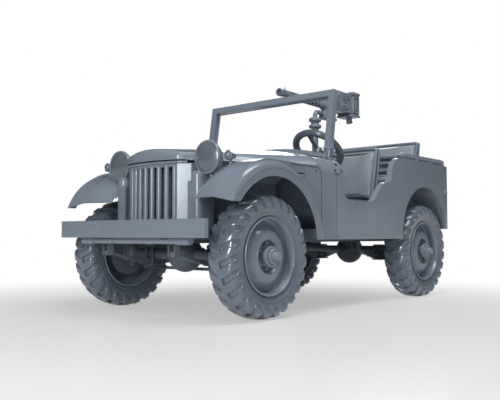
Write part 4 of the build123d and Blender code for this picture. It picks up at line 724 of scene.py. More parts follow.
def make_controls():
    """Pedals, gear levers and hand brake."""
    bm = bmesh.new()
    for y, z, width in ((0.47, 0.665, 0.060), (0.34, 0.665, 0.060), (0.235, 0.655, 0.045)):
        tilt = Matrix.Rotation(radians(-38), 4, "Y")
        add_box(bm, (0.222, y, z), (0.010, width, 0.075), bevel=0.003, turn=tilt)
        for rib in range(3):
            at = Vector((0.222, y, z)) + tilt @ Vector((-0.006, 0, 0.022 * (rib - 1)))
            add_box(bm, at, (0.004, width - 0.010, 0.006), bevel=0.001, turn=tilt)
        arm = [(0.226, y, z), (0.262, y, z + 0.004), (0.300, y, z - 0.03), (0.330, y, 0.590)]
        add_tube(bm, smooth_path(arm), 0.008, sides=10)
    levers = ((0.10, 0.03, 0.985, -0.09), (0.13, -0.055, 0.905, -0.05), (0.06, -0.095, 0.885, -0.04))
    for x, y, top, lean in levers:
        path = [(x, y, 0.700), (x - 0.004, y, 0.78), (x + lean, y, top - 0.06), (x + lean, y, top)]
        add_tube(bm, smooth_path(path), 0.008, sides=12)
        knob = [(0, -0.004), (0.010, -0.002), (0.019, 0.010), (0.020, 0.020), (0.015, 0.033)]
        knob += [(0.006, 0.039), (0, 0.040)]
        add_turned(bm, knob, place((x + lean, y, top)), steps=24)
        boot = [(0, -0.002), (0.040, -0.002), (0.040, 0.004), (0.030, 0.010), (0.024, 0.020)]
        boot += [(0.016, 0.032), (0.009, 0.044), (0, 0.044)]
        add_turned(bm, boot, place((x, y, 0.700)), steps=28)
    piece_from(bm, "floor_controls", rim_plastic(), "car")


# ---------------------------------------------------------------- hood
HOOD_REAR_X = 0.518
HOOD_LOW_Z = 1.0
HOOD_NOSE_R = 0.034


def hood_border(y):
    """Front edge of the hood in plan."""
    y = abs(y)
    if y <= 0.244:
        return 1.396 + 0.014 - (0.600 - (0.36 - y * y * (0.230 / 0.244) ** 2) ** 0.5)
    return 1.3642 - (y - 0.244) * 0.773


def hood_height(x, y):
    """Top of the hood over a place in plan, without the rounding of its nose."""
    share = (x - 0.512) / 0.788
    crease_y = 0.638 - 0.342 * share
    crease_z = 1.066 - 0.020 * share
    crown = 1.150 - 0.061 * share
    low_y = 0.742 - 0.438 * share
    y = abs(y)
    if y < crease_y:
        return crown - (crown - crease_z) * (y / crease_y) ** 2
    part = min((y - crease_y) / max(low_y - crease_y, 1e-4), 1.0)
    return crease_z - (crease_z - HOOD_LOW_Z) * (0.62 * part + 0.38 * part**3)


def make_hood():
    """Pressed hood skin with a rounded nose and soft shoulders, and the bead round its front edge."""
    across = [sin(pi / 2 * turn / 36) for turn in range(-36, 37)]
    along = [1.0 - (1.0 - step / 44) ** 1.7 for step in range(45)]
    bm = bmesh.new()
    rows = []
    for u in along:
        row = []
        for v in across:
            width = 0.742 - 0.440 * u
            y = v * width
            front = hood_border(v * 0.302)
            x = HOOD_REAR_X + (front - HOOD_REAR_X) * u
            depth = min((front - x) * 0.96, HOOD_NOSE_R)
            drop = HOOD_NOSE_R - (HOOD_NOSE_R**2 - (HOOD_NOSE_R - depth) ** 2) ** 0.5
            row.append((x, y, max(hood_height(x, y) - drop, HOOD_LOW_Z + 0.0004)))
        rows.append(row)
    last = rows[-1]
    for step in (1, 2, 3):
        rows.append([(x, y, z + (HOOD_LOW_Z - z) * step / 3) for x, y, z in last])
    grid = [[bm.verts.new(point) for point in row] for row in rows]
    for row, following in zip(grid, grid[1:]):
        for index in range(len(row) - 1):
            bm.faces.new((row[index], row[index + 1], following[index + 1], following[index]))
    bmesh.ops.remove_doubles(bm, verts=bm.verts, dist=2e-4)
    bmesh.ops.recalc_face_normals(bm, faces=bm.faces)
    if sum(face.normal.z for face in bm.faces) < 0:
        bmesh.ops.reverse_faces(bm, faces=bm.faces)
    bmesh.ops.solidify(bm, geom=bm.faces, thickness=0.005)
    hood = piece_from(bm, "hood_skin", body_paint(), "hood_lid", smooth=50.0)
    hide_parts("hood")
    trim = bmesh.new()
    bead = [(hood_border(y) - 0.002, y, 1.0045) for y in (0.300 * turn / 24 for turn in range(-24, 25))]
    add_tube(trim, bead, 0.0042, sides=8)
    seam = [(hood_border(y) - 0.0005, y, 1.0185) for y in (0.286 * turn / 24 for turn in range(-24, 25))]
    add_tube(trim, seam, 0.0022, sides=6)
    piece_from(trim, "hood_beads", body_paint(), "hood_lid")


# ---------------------------------------------------------------- fenders and cowl trim
def make_fender_trim():
    """Rolled edges of the wheel arches and front lips, and the aprons beside the radiator."""
    bm = bmesh.new()
    for side, _ in SIDES:
        for radius, y, thick, front in ((0.4405, 0.7965, 0.0042, 0.716), (0.4885, 0.7995, 0.0022, 0.716)):
            start = asin((front - 0.447) / radius)
            end = pi - asin((SILL_Z - 0.447) / radius)
            turns = [start + (end - start) * step / 60 for step in range(61)]
            edge = [(1.045 + radius * cos(turn), side * y, 0.447 + radius * sin(turn)) for turn in turns]
            add_tube(bm, edge, thick, sides=8, up=(0, side, 0))
        lip = []
        for step in range(25):
            y = 0.402 + (0.796 - 0.402) * step / 24
            z = 0.748 if y < 0.630 else 0.748 - (y - 0.630) * 0.033 / 0.170
            fall = 0.0
            if y < 0.6:
                fall = -4.861 * (y - 0.45) * (y - 0.6) + 2.963 * (y - 0.36) * (y - 0.6)
            lip.append((1.055 + ((0.4225 + fall) ** 2 - (z - 0.570) ** 2) ** 0.5, side * y, z + 0.002))
        add_tube(bm, lip, 0.0052, sides=8)
        # rounded apron between the radiator's shell and the fender
        add_box(bm, (1.250, side * 0.3605, 0.740), (0.168, 0.086, 0.378), bevel=0.036, segments=6)
    piece_from(bm, "fender_beads", body_paint(), "car")


SHOULDER_Y = 0.6241
SHOULDER_Z = 0.9282
SHOULDER_R = 0.1385


def cowl_top(y):
    return 1.150 - 0.084 * (y / 0.638) ** 2


def on_shoulder(side, x, degrees, out=0.0):
    """Place on the cowl's round shoulder, counted down from straight up, and out from its skin."""
    reach = SHOULDER_R + out
    turn = radians(degrees)
    return Vector((x, side * (SHOULDER_Y + reach * sin(turn)), SHOULDER_Z + reach * cos(turn)))


# outline and bolts of a plate on the shoulder: x, degrees down it
SHOULDER_PLATE = (
    (0.246, 79),
    (0.246, 70),
    (0.268, 46),
    (0.278, 40),
    (0.306, 40),
    (0.322, 46),
    (0.366, 70),
    (0.366, 79),
)
SHOULDER_BOLTS = ((0.294, 50), (0.266, 72), (0.344, 72))
# catches on the cowl: x, y, radius, height
CATCHES = (
    (0.432, 0.342, 0.006, 0.010),
    (0.402, 0.376, 0.008, 0.013),
    (0.376, 0.406, 0.006, 0.010),
    (0.350, 0.436, 0.008, 0.012),
)


def add_wing_nut(bm, hub, side):
    nut = [(0, 0), (0.013, 0), (0.013, 0.006), (0.009, 0.010), (0.008, 0.022), (0.0055, 0.026), (0, 0.026)]
    add_turned(bm, nut, place(hub, (0, side, 0)), steps=20)
    for turn in (radians(40), radians(220)):
        arms = ((0.007, 0.012), (0.018, 0.018), (0.027, 0.024))
        wing = [hub + Vector((reach * cos(turn), side * out, reach * sin(turn))) for reach, out in arms]
        add_tube(bm, wing, 0.0052, sides=8, up=(0, side, 0))


def make_cowl_trim():
    """Plates, wing nuts and links at the screen's feet, and catches on the cowl."""
    bm = bmesh.new()
    dark = bmesh.new()
    for side, _ in SIDES:
        add_skin(bm, [[on_shoulder(side, *spot, out) for spot in SHOULDER_PLATE] for out in (-0.006, 0.0045)])
        for spot in SHOULDER_BOLTS:
            toward = on_shoulder(side, *spot, 1.0) - on_shoulder(side, *spot, 0.0)
            add_bolt(dark, on_shoulder(side, *spot, 0.004), toward, 0.0085, height=0.006)
        add_wing_nut(bm, Vector((0.203, side * 0.6335, 1.158)), side)
        link = ((0.232, 0.641, 1.130), (0.250, 0.646, 1.104), (0.268, 0.652, 1.080), (0.286, 0.694, 1.052))
        add_tube(bm, smooth_path([(x, side * y, z) for x, y, z in link]), 0.0065, sides=10)
        add_bolt(bm, (0.232, side * 0.633, 1.132), (0, side, 0), 0.010, height=0.012, dome=False)
        for x, y, radius, rise in CATCHES:
            post = [(0, -0.003), (radius * 1.6, -0.003), (radius * 1.6, 0.002), (radius, 0.004)]
            post += [(radius, rise), (radius * 0.7, rise + 0.002), (0, rise + 0.0025)]
            add_turned(bm, post, place((x, side * y, cowl_top(y))), steps=20)
        bar = [(x, side * y, cowl_top(y) + 0.009) for x, y, _, _ in CATCHES[1:3]]
        add_tube(bm, bar, 0.003, sides=8)
    piece_from(bm, "cowl_fittings", hardware_paint(), "car")
    piece_from(dark, "cowl_bolts", seam_dark_and_hole_shade(), "car")


def make_screen_trim():
    """Glazing bead inside the screen's frame and its corner screws."""
    rake = asin(71 / 451.6)
    up = Vector((-sin(rake), 0, cos(rake)))
    out = Vector((cos(rake), 0, sin(rake)))
    foot = Vector((0.203, 0, 1.158))
    bm = bmesh.new()
    high = 0.4516 - 0.047
    edge = 0.573
    bars = ((-edge, -0.02, -edge, high), (edge, -0.02, edge, high), (-edge, high, edge, high))
    for depth in (0.006, -0.044):
        for y0, z0, y1, z1 in bars:
            start = foot + up * z0 + Vector((0, y0, 0)) + out * (depth - 0.012)
            end = foot + up * z1 + Vector((0, y1, 0)) + out * (depth - 0.012)
            add_tube(bm, [start, (start + end) / 2, end], 0.0036, sides=8)
    for y in (-0.597, 0.597):
        for rise in (0.06, 0.24, 0.43):
            add_bolt(bm, foot + up * rise + Vector((0, y, 0)) + out * 0.0002, out, 0.005)
    piece_from(bm, "screen_beads", body_paint(), "screen")


# ---------------------------------------------------------------- seats
def swell(piece, pressure, limit):
    """Fill a pad with the cloth solver, with no gravity and a cap on how far a point moves."""
    mesh = piece.data
    rest = [vert.co.copy() for vert in mesh.vertices]
    cloth = piece.modifiers.new("swell", "CLOTH")
    cloth.settings.use_pressure = True
    cloth.settings.uniform_pressure_force = pressure
    cloth.settings.effector_weights.gravity = 0.0
    cloth.settings.quality = 4
    cloth.point_cache.frame_start = 1
    cloth.point_cache.frame_end = 20
    scene = bpy.context.scene
    for step in range(1, 21):
        scene.frame_set(step)
    ready = piece.evaluated_get(bpy.context.evaluated_depsgraph_get())
    moved = [vert.co.copy() for vert in ready.data.vertices]
    piece.modifiers.remove(cloth)
    scene.frame_set(1)
    for vert, start, end in zip(mesh.vertices, rest, moved):
        step = end - start
        if step.length > limit:
            step *= limit / step.length
        vert.co = start + step


def make_pad(name, origin, axes, size, nodes, limit=0.024):
    """Stuffed pad in its own axes (across, up, out), swollen by the cloth solver and kept to its room."""
    origin = Vector(origin)
    across, up, out = (Vector(axis).normalized() for axis in axes)
    width, height, thick = size
    bm = bmesh.new()
    bmesh.ops.create_cube(bm, size=1.0)
    bmesh.ops.subdivide_edges(bm, edges=bm.edges, cuts=9, use_grid_fill=True)
    start = thick * 0.62
    for vert in bm.verts:
        a, b, c = (2 * value for value in vert.co)
        ease = (1 - 0.5 * (abs(a) ** 7 + abs(b) ** 7) * 0.55) * (1 - 0.05 * max(abs(a), abs(b)) ** 2)
        pull = 0.010 * (1 - b * b), 0.010 * (1 - a * a)
        vert.co = (
            a * (width / 2 - 0.008) - (pull[0] if a > 0.98 else -pull[0] if a < -0.98 else 0.0),
            b * (height / 2 - 0.008) - (pull[1] if b > 0.98 else -pull[1] if b < -0.98 else 0.0),
            c * start / 2 * ease,
        )
    mesh = bpy.data.meshes.new(name)
    bm.to_mesh(mesh)
    bm.free()
    piece = bpy.data.objects.new(name, mesh)
    bpy.context.scene.collection.objects.link(piece)
    remesh = piece.modifiers.new("even", "REMESH")
    remesh.mode = "VOXEL"
    remesh.voxel_size = 0.009
    even = bpy.data.meshes.new_from_object(piece.evaluated_get(bpy.context.evaluated_depsgraph_get()))
    piece.modifiers.remove(remesh)
    piece.data = even
    even.name = name
    swell(piece, 2.2, limit)
    bm = bmesh.new()
    bm.from_mesh(even)
    # the seams draw in as the pad fills, so it is stretched back to its room
    wide = width / 2 / max(abs(vert.co.x) for vert in bm.verts)
    tall = height / 2 / max(abs(vert.co.y) for vert in bm.verts)
    for vert in bm.verts:
        a = max(-width / 2, min(width / 2, vert.co.x * wide * 1.012))
        b = max(-height / 2, min(height / 2, vert.co.y * tall * 1.012))
        c = max(-thick / 2, min(thick / 2, vert.co.z))
        vert.co = origin + across * a + up * b + out * c
    bmesh.ops.smooth_vert(bm, verts=bm.verts, factor=0.5, use_axis_x=True, use_axis_y=True, use_axis_z=True)
    bmesh.ops.recalc_face_normals(bm, faces=bm.faces)
    bm.to_mesh(even)
    bm.free()
    even.materials.clear()
    even.materials.append(seat_leather())
    for face in even.polygons:
        face.use_smooth = True
    finer = piece.modifiers.new("finer", "SUBSURF")
    finer.levels = 1
    finer.render_levels = 1
    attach(piece, "car")
    if nodes:
        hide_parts(*nodes)


def hoop(y0, y1, foot, top, bend=0.045):
    """Path of a bent tube: up one side, across the top and down the other."""
    foot_x, foot_z = foot
    top_x, top_z = top
    slope = (top_x - foot_x) / (top_z - foot_z)
    points = []
    for step in range(8):
        z = foot_z + (top_z - bend - foot_z) * step / 8
        points.append((foot_x + slope * (z - foot_z), y0, z))
    for step in range(9):
        turn = pi / 2 * step / 8
        z = top_z - bend + bend * sin(turn)
        y = y0 + (bend - bend * cos(turn)) * (1 if y1 > y0 else -1)
        points.append((foot_x + slope * (z - foot_z), y, z))
    middle = [(x, (y0 + y1) - y, z) for x, y, z in reversed(points)]
    return points + middle


def lean_axes(rise):
    """Across, up and out of a back that leans by rise in X and Z."""
    across = Vector((0, 1, 0))
    out = Vector(rise).cross(across).normalized()
    return across, Vector(rise), out if out.x > 0 else -out


def bench_ring(centre, half_x, half_y, z, stretch, count):
    """Line round a cushion, a rectangle with eased corners."""
    ring = []
    for turn in turns_round(count):
        a, b = (min(1, max(-1, stretch * value)) for value in (cos(turn), sin(turn)))
        ring.append((centre[0] + half_x * a, centre[1] + half_y * b, z))
    return ring


FLAT_AXES = ((0, 1, 0), (1, 0, 0), (0, 0, -1))


def make_front_seats():
    """Pads, piping and bent tube frames of the two front seats."""
    frames = bmesh.new()
    piping = bmesh.new()
    boards = bmesh.new()
    axes = lean_axes((-0.085, 0, 0.4065))
    _, lean, out = axes
    slant = Matrix.Rotation(asin(lean.normalized().x), 4, "Y")
    for side, hand in SIDES:
        middle = side * 0.379
        back = Vector((-0.499, middle, 1.0075))
        stands_for = ("front_cushions",) if side > 0 else ()
        make_pad(f"seat_back_{hand}", back, axes, (0.428, 0.410, 0.066), stands_for)
        make_pad(f"seat_cushion_{hand}", (-0.2375, middle, 0.7475), FLAT_AXES, (0.464, 0.508, 0.092), ())
        add_box(boards, back - out * 0.026, (0.005, 0.430, 0.404), bevel=0.001, turn=slant)
        for shift, radius in ((-0.0135, 0.0125), (-0.0625, 0.0115)):
            ends = (-0.420 + shift, 0.800), (-0.503 + shift, 1.2255)
            add_tube(frames, hoop(side * 0.166, side * 0.598, *ends, bend=0.020), radius, sides=14, up=out)
        cross = [(-0.541, side * y, 1.224) for y in (0.205, 0.38, 0.56)]
        add_tube(frames, cross, 0.0140, sides=14)
        for x in (-0.40, -0.22, -0.05):
            add_tube(frames, [(x, side * y, 0.7015) for y in (0.170, 0.38, 0.600)], 0.0015, sides=6)
        for z in (0.7905, 0.7045):
            ring = bench_ring((-0.2375, middle), 0.246, 0.224, z, 1.25, 64)
            add_tube(piping, ring, 0.0042, sides=8, closed=True)
    piece_from(frames, "seat_tubes", hardware_paint(), "car")
    piece_from(boards, "seat_boards", chassis_paint(), "car")
    piece_from(piping, "seat_piping", seat_leather(), "car")


def make_rear_seat():
    """Back band, slats, bench pad and bent tubes of the rear seat."""
    axes = lean_axes((-0.060, 0, 0.295))
    make_pad("rear_back_pad", (-1.3075, 0, 1.2815), axes, (1.104, 0.150, 0.062), ("rear_seat",), limit=0.018)
    make_pad("rear_bench_pad", (-1.060, 0, 0.9925), FLAT_AXES, (1.150, 0.472, 0.092), ())
    turn = Matrix.Rotation(-asin(0.060 / 0.301), 4, "Y")
    frames = bmesh.new()
    for shift, radius in ((-0.0125, 0.012), (-0.0575, 0.011)):
        path = hoop(-0.563, 0.563, (-1.230 + shift, 1.043), (-1.288 + shift, 1.356), bend=0.014)
        add_tube(frames, path, radius, sides=14, up=axes[2])
    for z in (1.196, 1.128, 1.060):
        at = (-1.265 - 0.060 * (z - 1.040) / 0.295, 0, z)
        add_box(frames, at, (0.012, 1.110, 0.028), bevel=0.003, turn=turn)
    back = bmesh.new()
    add_box(back, (-1.316, 0, 1.188), (0.005, 1.112, 0.286), bevel=0.001, turn=turn)
    piece_from(back, "rear_seat_board", chassis_paint(), "car")
    piece_from(frames, "rear_seat_tubes", hardware_paint(), "car")
    piping = bmesh.new()
    for z in (1.0345, 0.9505):
        ring = bench_ring((-1.060, 0), 0.232, 0.568, z, 1.2, 96)
        add_tube(piping, ring, 0.0042, sides=8, closed=True)
    piece_from(piping, "rear_seat_piping", seat_leather(), "car")


def make_top_rails():
    """Rounded rails on the body's rear sides, turned down at both ends."""
    bm = bmesh.new()
    for side, _ in SIDES:
        y = side * 0.740
        path = smooth_path([
            (-0.632, y, 1.1605),
            (-0.645, y, 1.170),
            (-0.668, y, 1.1765),
            (-0.72, y, 1.1785),
            (-0.95, y, 1.1785),
            (-1.20, y, 1.1785),
            (-1.40, y, 1.1785),
            (-1.432, y, 1.174),
            (-1.4385, y, 1.160),
            (-1.4385, y, 1.1455),
        ], steps=5)
        add_tube(bm, path, 0.0172, sides=16)
        add_box(bm, (-1.04, y, 1.1525), (0.760, 0.012, 0.022), bevel=0.002)
        for x in (-0.680, -0.930, -1.180, -1.430):
            add_box(bm, (x, y, 1.1525), (0.030, 0.028, 0.018), bevel=0.002)
    piece = piece_from(bm, "side_rails", body_paint(), "car")
    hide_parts("top_rails")


# ---------------------------------------------------------------- gun
GUN_YAW = radians(3.5)
POST = Vector((-0.600, -0.063, 0.0))
TRUNNION_Z = 1.633


def aim(x, y, z):
    """Place on the gun: along it from the post, to its left, and up from the trunnion."""
    turned = Matrix.Rotation(GUN_YAW, 3, "Z") @ Vector((x, y, 0))
    return Vector((POST.x + turned.x, POST.y + turned.y, TRUNNION_Z + z))


def toward(x, y, z):
    """Direction on the gun, in the car's frame."""
    return aim(x, y, z) - aim(0, 0, 0)


def gun_box(bm, rear, front, low, top, left, right, bevel):
    """Box square to the gun; left and right may come in either order."""
    left, right = max(left, right), min(left, right)
    centre = aim((rear + front) / 2, (left + right) / 2, (low + top) / 2)
    turn = Matrix.Rotation(GUN_YAW, 4, "Z")
    add_box(bm, centre, (front - rear, left - right, top - low), bevel=bevel, turn=turn)


def swept(start, end, count):
    """Angles from start to end in equal steps, both ends with them."""
    return [start + (end - start) * step / count for step in range(count + 1)]


def rounded_collar(radius, low, height, inner=0.030):
    """Outline of a ring with a round rim."""
    half = height / 2
    bulge = half * 0.72
    rim = [(radius - bulge + bulge * sin(turn), low + half - half * cos(turn)) for turn in swept(0, pi, 10)]
    return [(0, low), (inner, low), *rim, (inner, low + height), (0, low + height)]


def make_gun_post():
    """Post with a bolted foot and a rounded collar."""
    bm = bmesh.new()
    at = Matrix.Translation(POST)
    foot = [(0, 0.556), (0.088, 0.556), (0.090, 0.558), (0.090, 0.565), (0.087, 0.568)]
    foot += [(0.045, 0.570), (0.034, 0.582), (0.028, 0.600)]
    tube = [(0.028, 1.20), (0.028, 1.440), (0.031, 1.452), (0.034, 1.4665), (0, 1.4665)]
    add_turned(bm, foot + tube, at, steps=40)
    add_turned(bm, rounded_collar(0.056, 1.466, 0.036), at, steps=48)
    for turn in turns_round(6):
        spot = POST + Vector((0.070 * cos(turn), 0.070 * sin(turn), 0.568))
        add_bolt(bm, spot, (0, 0, 1), 0.009, height=0.008, dome=False)
    piece = piece_from(bm, "gun_pedestal", gun_paint(), "car")
    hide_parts("gun_post")


def make_gun_cradle():
    """Swivel neck, bent arm and the fork with its pin."""
    bm = bmesh.new()
    at = Matrix.Translation(POST)
    neck = [(0, 1.5025), (0.042, 1.5025), (0.036, 1.508), (0.034, 1.516), (0.036, 1.524), (0, 1.525)]
    add_turned(bm, neck, at, steps=40)
    add_turned(bm, rounded_collar(0.056, 1.524, 0.038), at, steps=48)
    bend = [(-0.045 + 0.045 * cos(turn), 0.0, -0.057 + 0.045 * sin(turn)) for turn in swept(0, pi / 2, 10)]
    path = [(0, 0, -0.075), *bend, (-0.09, 0, -0.012), (-0.128, 0, -0.012)]
    add_tube(bm, [aim(*point) for point in path], 0.020, sides=24, up=(0, 1, 0))
    eye = [(-0.160 + 0.017 * cos(turn), 0.017 * sin(turn)) for turn in swept(pi, 0, 14)]
    outline = [*eye, (-0.1255, 0.0105), (-0.1255, -0.060), (-0.330, -0.060), (-0.330, -0.037)]
    boss = [(0, -0.004), (0.013, -0.004), (0.013, 0.006), (0.009, 0.009), (0, 0.009)]
    for y in (0.0305, -0.0305):
        add_plate(bm, [aim(x, y, z) for x, z in outline], 0.009, bevel=0.002)
        out = toward(0, y, 0)
        add_turned(bm, boss, place(aim(-0.160, y * 1.13, 0), out), steps=24)
        for x in (-0.30, -0.20):
            add_bolt(bm, aim(x, y * 1.147, -0.048), out, 0.0055)
    gun_box(bm, -0.134, -0.1252, -0.060, 0.011, 0.0345, -0.0345, 0.0015)
    gun_box(bm, -0.330, -0.1255, -0.060, -0.051, 0.0345, -0.0345, 0.0015)
    pin = place(aim(-0.160, -0.0265, 0), toward(0, 1, 0))
    add_turned(bm, [(0, 0), (0.008, 0), (0.008, 0.053), (0, 0.053)], pin, steps=20)
    piece = piece_from(bm, "gun_fork", gun_paint(), "swivel")
    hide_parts("gun_cradle")


def frame_bars(bm, face, low, high, width, rise, bevel=0.0012):
    """Raised rectangular frame on a face, given as its origin and its axes across, up and out."""
    origin, *axes = (Vector(item) for item in face)
    (a0, b0), (a1, b1) = low, high
    loop = [(a0, b0), (a1, b0), (a1, b1), (a0, b1)]
    for start, end in zip(loop, loop[1:] + loop[:1]):
        mid = [(s + e) / 2 for s, e in zip(start, end)]
        half = [(abs(e - s) + width) / 2 for s, e in zip(start, end)]
        corners = []
        for i, j in ((-1, -1), (1, -1), (1, 1), (-1, 1)):
            spot = (mid[0] + i * half[0], mid[1] + j * half[1], rise / 2 - 0.001)
            corners.append(aim(*(origin + sum((axis * value for axis, value in zip(axes, spot)), Vector()))))
        add_plate(bm, corners, rise + 0.002, bevel=bevel)


# boxes of the gun: rear, front, low, top, half width, bevel
GUN_BOXES = (
    (-0.552, -0.160, 0.036, 0.183, 0.050, 0.004),
    (-0.167, -0.150, 0.036, 0.103, 0.045, 0.003),
    (-0.552, -0.345, 0.181, 0.233, 0.046, 0.010),
    (-0.677, -0.550, 0.034, 0.222, 0.079, 0.003),
    (-0.683, -0.544, 0.222, 0.247, 0.091, 0.005),
    (-0.683, -0.544, 0.014, 0.034, 0.091, 0.004),
    (-0.675, -0.552, 0.2155, 0.2235, 0.084, 0.001),
)


def make_gun():
    """Receiver, feed box with nested frames, jacket with dark discs painted as the shade of its holes, muzzle
    and grip.
    """
    bm = bmesh.new()
    dark = bmesh.new()
    for *edges, half, bevel in GUN_BOXES:
        gun_box(bm, *edges, half, -half, bevel)
    front = ((-0.550, 0, 0), (0, 1, 0), (0, 0, 1), (1, 0, 0))
    frame_bars(bm, front, (-0.070, 0.050), (0.070, 0.206), 0.014, 0.0055)
    frame_bars(bm, front, (-0.045, 0.076), (0.045, 0.180), 0.012, 0.0055)
    gun_box(bm, -0.552, -0.5445, 0.098, 0.158, 0.024, -0.024, 0.0012)
    for hand in (1, -1):
        flank = ((-0.6135, hand * 0.079, 0), (1, 0, 0), (0, 0, 1), (0, hand, 0))
        frame_bars(bm, flank, (-0.048, 0.052), (0.048, 0.204), 0.013, 0.011)
        gun_box(bm, -0.640, -0.587, 0.076, 0.180, hand * 0.0865, hand * 0.077, 0.0012)
        for x, z in ((-0.20, 0.060), (-0.20, 0.160), (-0.36, 0.060), (-0.36, 0.160)):
            add_bolt(bm, aim(x, hand * 0.050, z), toward(0, hand, 0), 0.0065)
        plate = ((-0.545, hand * 0.0498, 0), (1, 0, 0), (0, 0, 1), (0, hand, 0))
        frame_bars(bm, plate, (0.010, 0.050), (0.148, 0.170), 0.013, 0.0065)
        frame_bars(bm, plate, (0.038, 0.077), (0.120, 0.143), 0.011, 0.0065)
        gun_box(bm, -0.482, -0.450, 0.100, 0.120, hand * 0.0565, hand * 0.049, 0.001)
        gun_box(bm, -0.330, -0.235, 0.098, 0.104, hand * 0.0525, hand * 0.049, 0.001)
    rear = ((-0.677, 0, 0), (0, 1, 0), (0, 0, 1), (-1, 0, 0))
    frame_bars(bm, rear, (-0.062, 0.052), (0.062, 0.204), 0.014, 0.0055)
    gun_box(bm, -0.672, -0.648, 0.2435, 0.2535, 0.030, -0.030, 0.003)
    # jacket with its bore and rings; its long holes are near-black discs of painted shade, not cut through
    back = toward(-1, 0, 0)
    outline = [(0, 0.032), (0.0205, 0.032), (0.022, 0.028), (0.022, 0.004), (0.0245, 0.0005), (0.0300, 0.0)]
    outline += [(0.033, 0.003), (0.033, 0.038), (0.0305, 0.042), (0.0305, 0.100), (0.032, 0.104)]
    outline += [(0.032, 0.690), (0.033, 0.694), (0.033, 0.735), (0, 0.735)]
    add_turned(bm, outline, place(aim(0.567, 0, 0.064), back), steps=44)
    hole = [(0, -0.002), (0.0075, -0.002), (0.0075, 0.0001), (0.0060, 0.0008), (0, 0.0010)]
    for row in range(9):
        for turn in turns_round(6):
            angle = turn + (pi / 6 if row % 2 else 0) + 0.35
            across, rise = cos(angle), sin(angle)
            spot = aim(0.567 - 0.165 - 0.054 * row, 0.0318 * across, 0.064 + 0.0318 * rise)
            out = toward(0, across, rise)
            basis = Matrix((back * 1.9, back.cross(out), out)).transposed().to_4x4()
            add_turned(dark, hole, Matrix.Translation(spot) @ basis, steps=16)
    # grip below the box
    lean = radians(18)
    grip = [(0, -0.004), (0.030, -0.004), (0.030, 0.010), (0.0285, 0.016), (0.0285, 0.060)]
    grip += [(0.030, 0.064), (0.030, 0.070), (0.027, 0.0735), (0, 0.074)]
    add_turned(bm, grip, place(aim(-0.615, 0, 0.032), toward(-sin(lean), 0, -cos(lean))), steps=32)
    # lug on the pin
    gun_box(bm, -0.176, -0.144, -0.0005, 0.038, 0.0225, -0.0225, 0.001)
    lug = place(aim(-0.160, -0.0225, 0), toward(0, 1, 0))
    add_turned(bm, [(0, 0), (0.017, 0), (0.017, 0.045), (0, 0.045)], lug, steps=28)
    # sights
    gun_box(bm, 0.470, 0.482, 0.094, 0.118, 0.002, -0.002, 0.0005)
    gun_box(bm, -0.400, -0.385, 0.232, 0.2455, 0.012, -0.012, 0.001)
    piece = piece_from(bm, "gun_receiver", gun_paint(), "gun")
    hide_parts("gun_body")
    piece_from(dark, "gun_jacket_hole_shade", seam_dark_and_hole_shade(), "gun")


# ---------------------------------------------------------------- lamps and nose
def make_lamp_trim():
    """Bezels of the lamps, rail under the hood and fins of the radiator."""
    bm = bmesh.new()
    rims = ((1.2855, 0.428, 1.009, 0.1010, 0.0060), (1.266, 0.588, 1.010, 0.0300, 0.0030))
    for side, _ in SIDES:
        for x, y, z, radius, thick in rims:
            ring = [(x, side * y + radius * cos(turn), z + radius * sin(turn)) for turn in turns_round(64)]
            add_tube(bm, ring, thick, sides=8, up=(1, 0, 0), closed=True)
        add_bolt(bm, (1.288, side * 0.428, 1.009 - 0.1045), (1, 0, 0), 0.0042, height=0.006, dome=False)
    rail = [(1.3975 - (0.600 - (0.36 - y * y) ** 0.5), y, 0.9665) for y in swept(-0.226, 0.226, 40)]
    add_tube(bm, rail, 0.0045, sides=8)
    lip = [(hood_border(y) - 0.013, y, 0.9858) for y in (0.288 * turn / 24 for turn in range(-24, 25))]
    add_tube(bm, lip, 0.0092, sides=12)
    piece_from(bm, "lamp_bezels", hardware_paint(), "car")
    # near-black fins: painted shade deep behind the grille
    fins = bmesh.new()
    for step in range(36):
        add_box(fins, (1.280, 0, 0.565 + 0.0108 * step), (0.006, 0.460, 0.0022), bevel=0.0005)
    for step in range(-11, 12):
        add_box(fins, (1.2785, step * 0.020, 0.755), (0.004, 0.003, 0.390), bevel=0.0005)
    piece_from(fins, "radiator_fins", seam_dark_and_hole_shade(), "car")


def add_lamp(name, at, target, power, size):
    """Rectangular studio lamp turned towards a point."""
    lamp = bpy.data.lights.new(name, "AREA")
    lamp.energy = power
    lamp.shape = "RECTANGLE"
    lamp.size, lamp.size_y = size
    holder = bpy.data.objects.new(name, lamp)
    holder.location = at
    holder.rotation_euler = (Vector(target) - Vector(at)).to_track_quat("-Z", "Y").to_euler()
    bpy.context.scene.collection.objects.link(holder)
    return holder


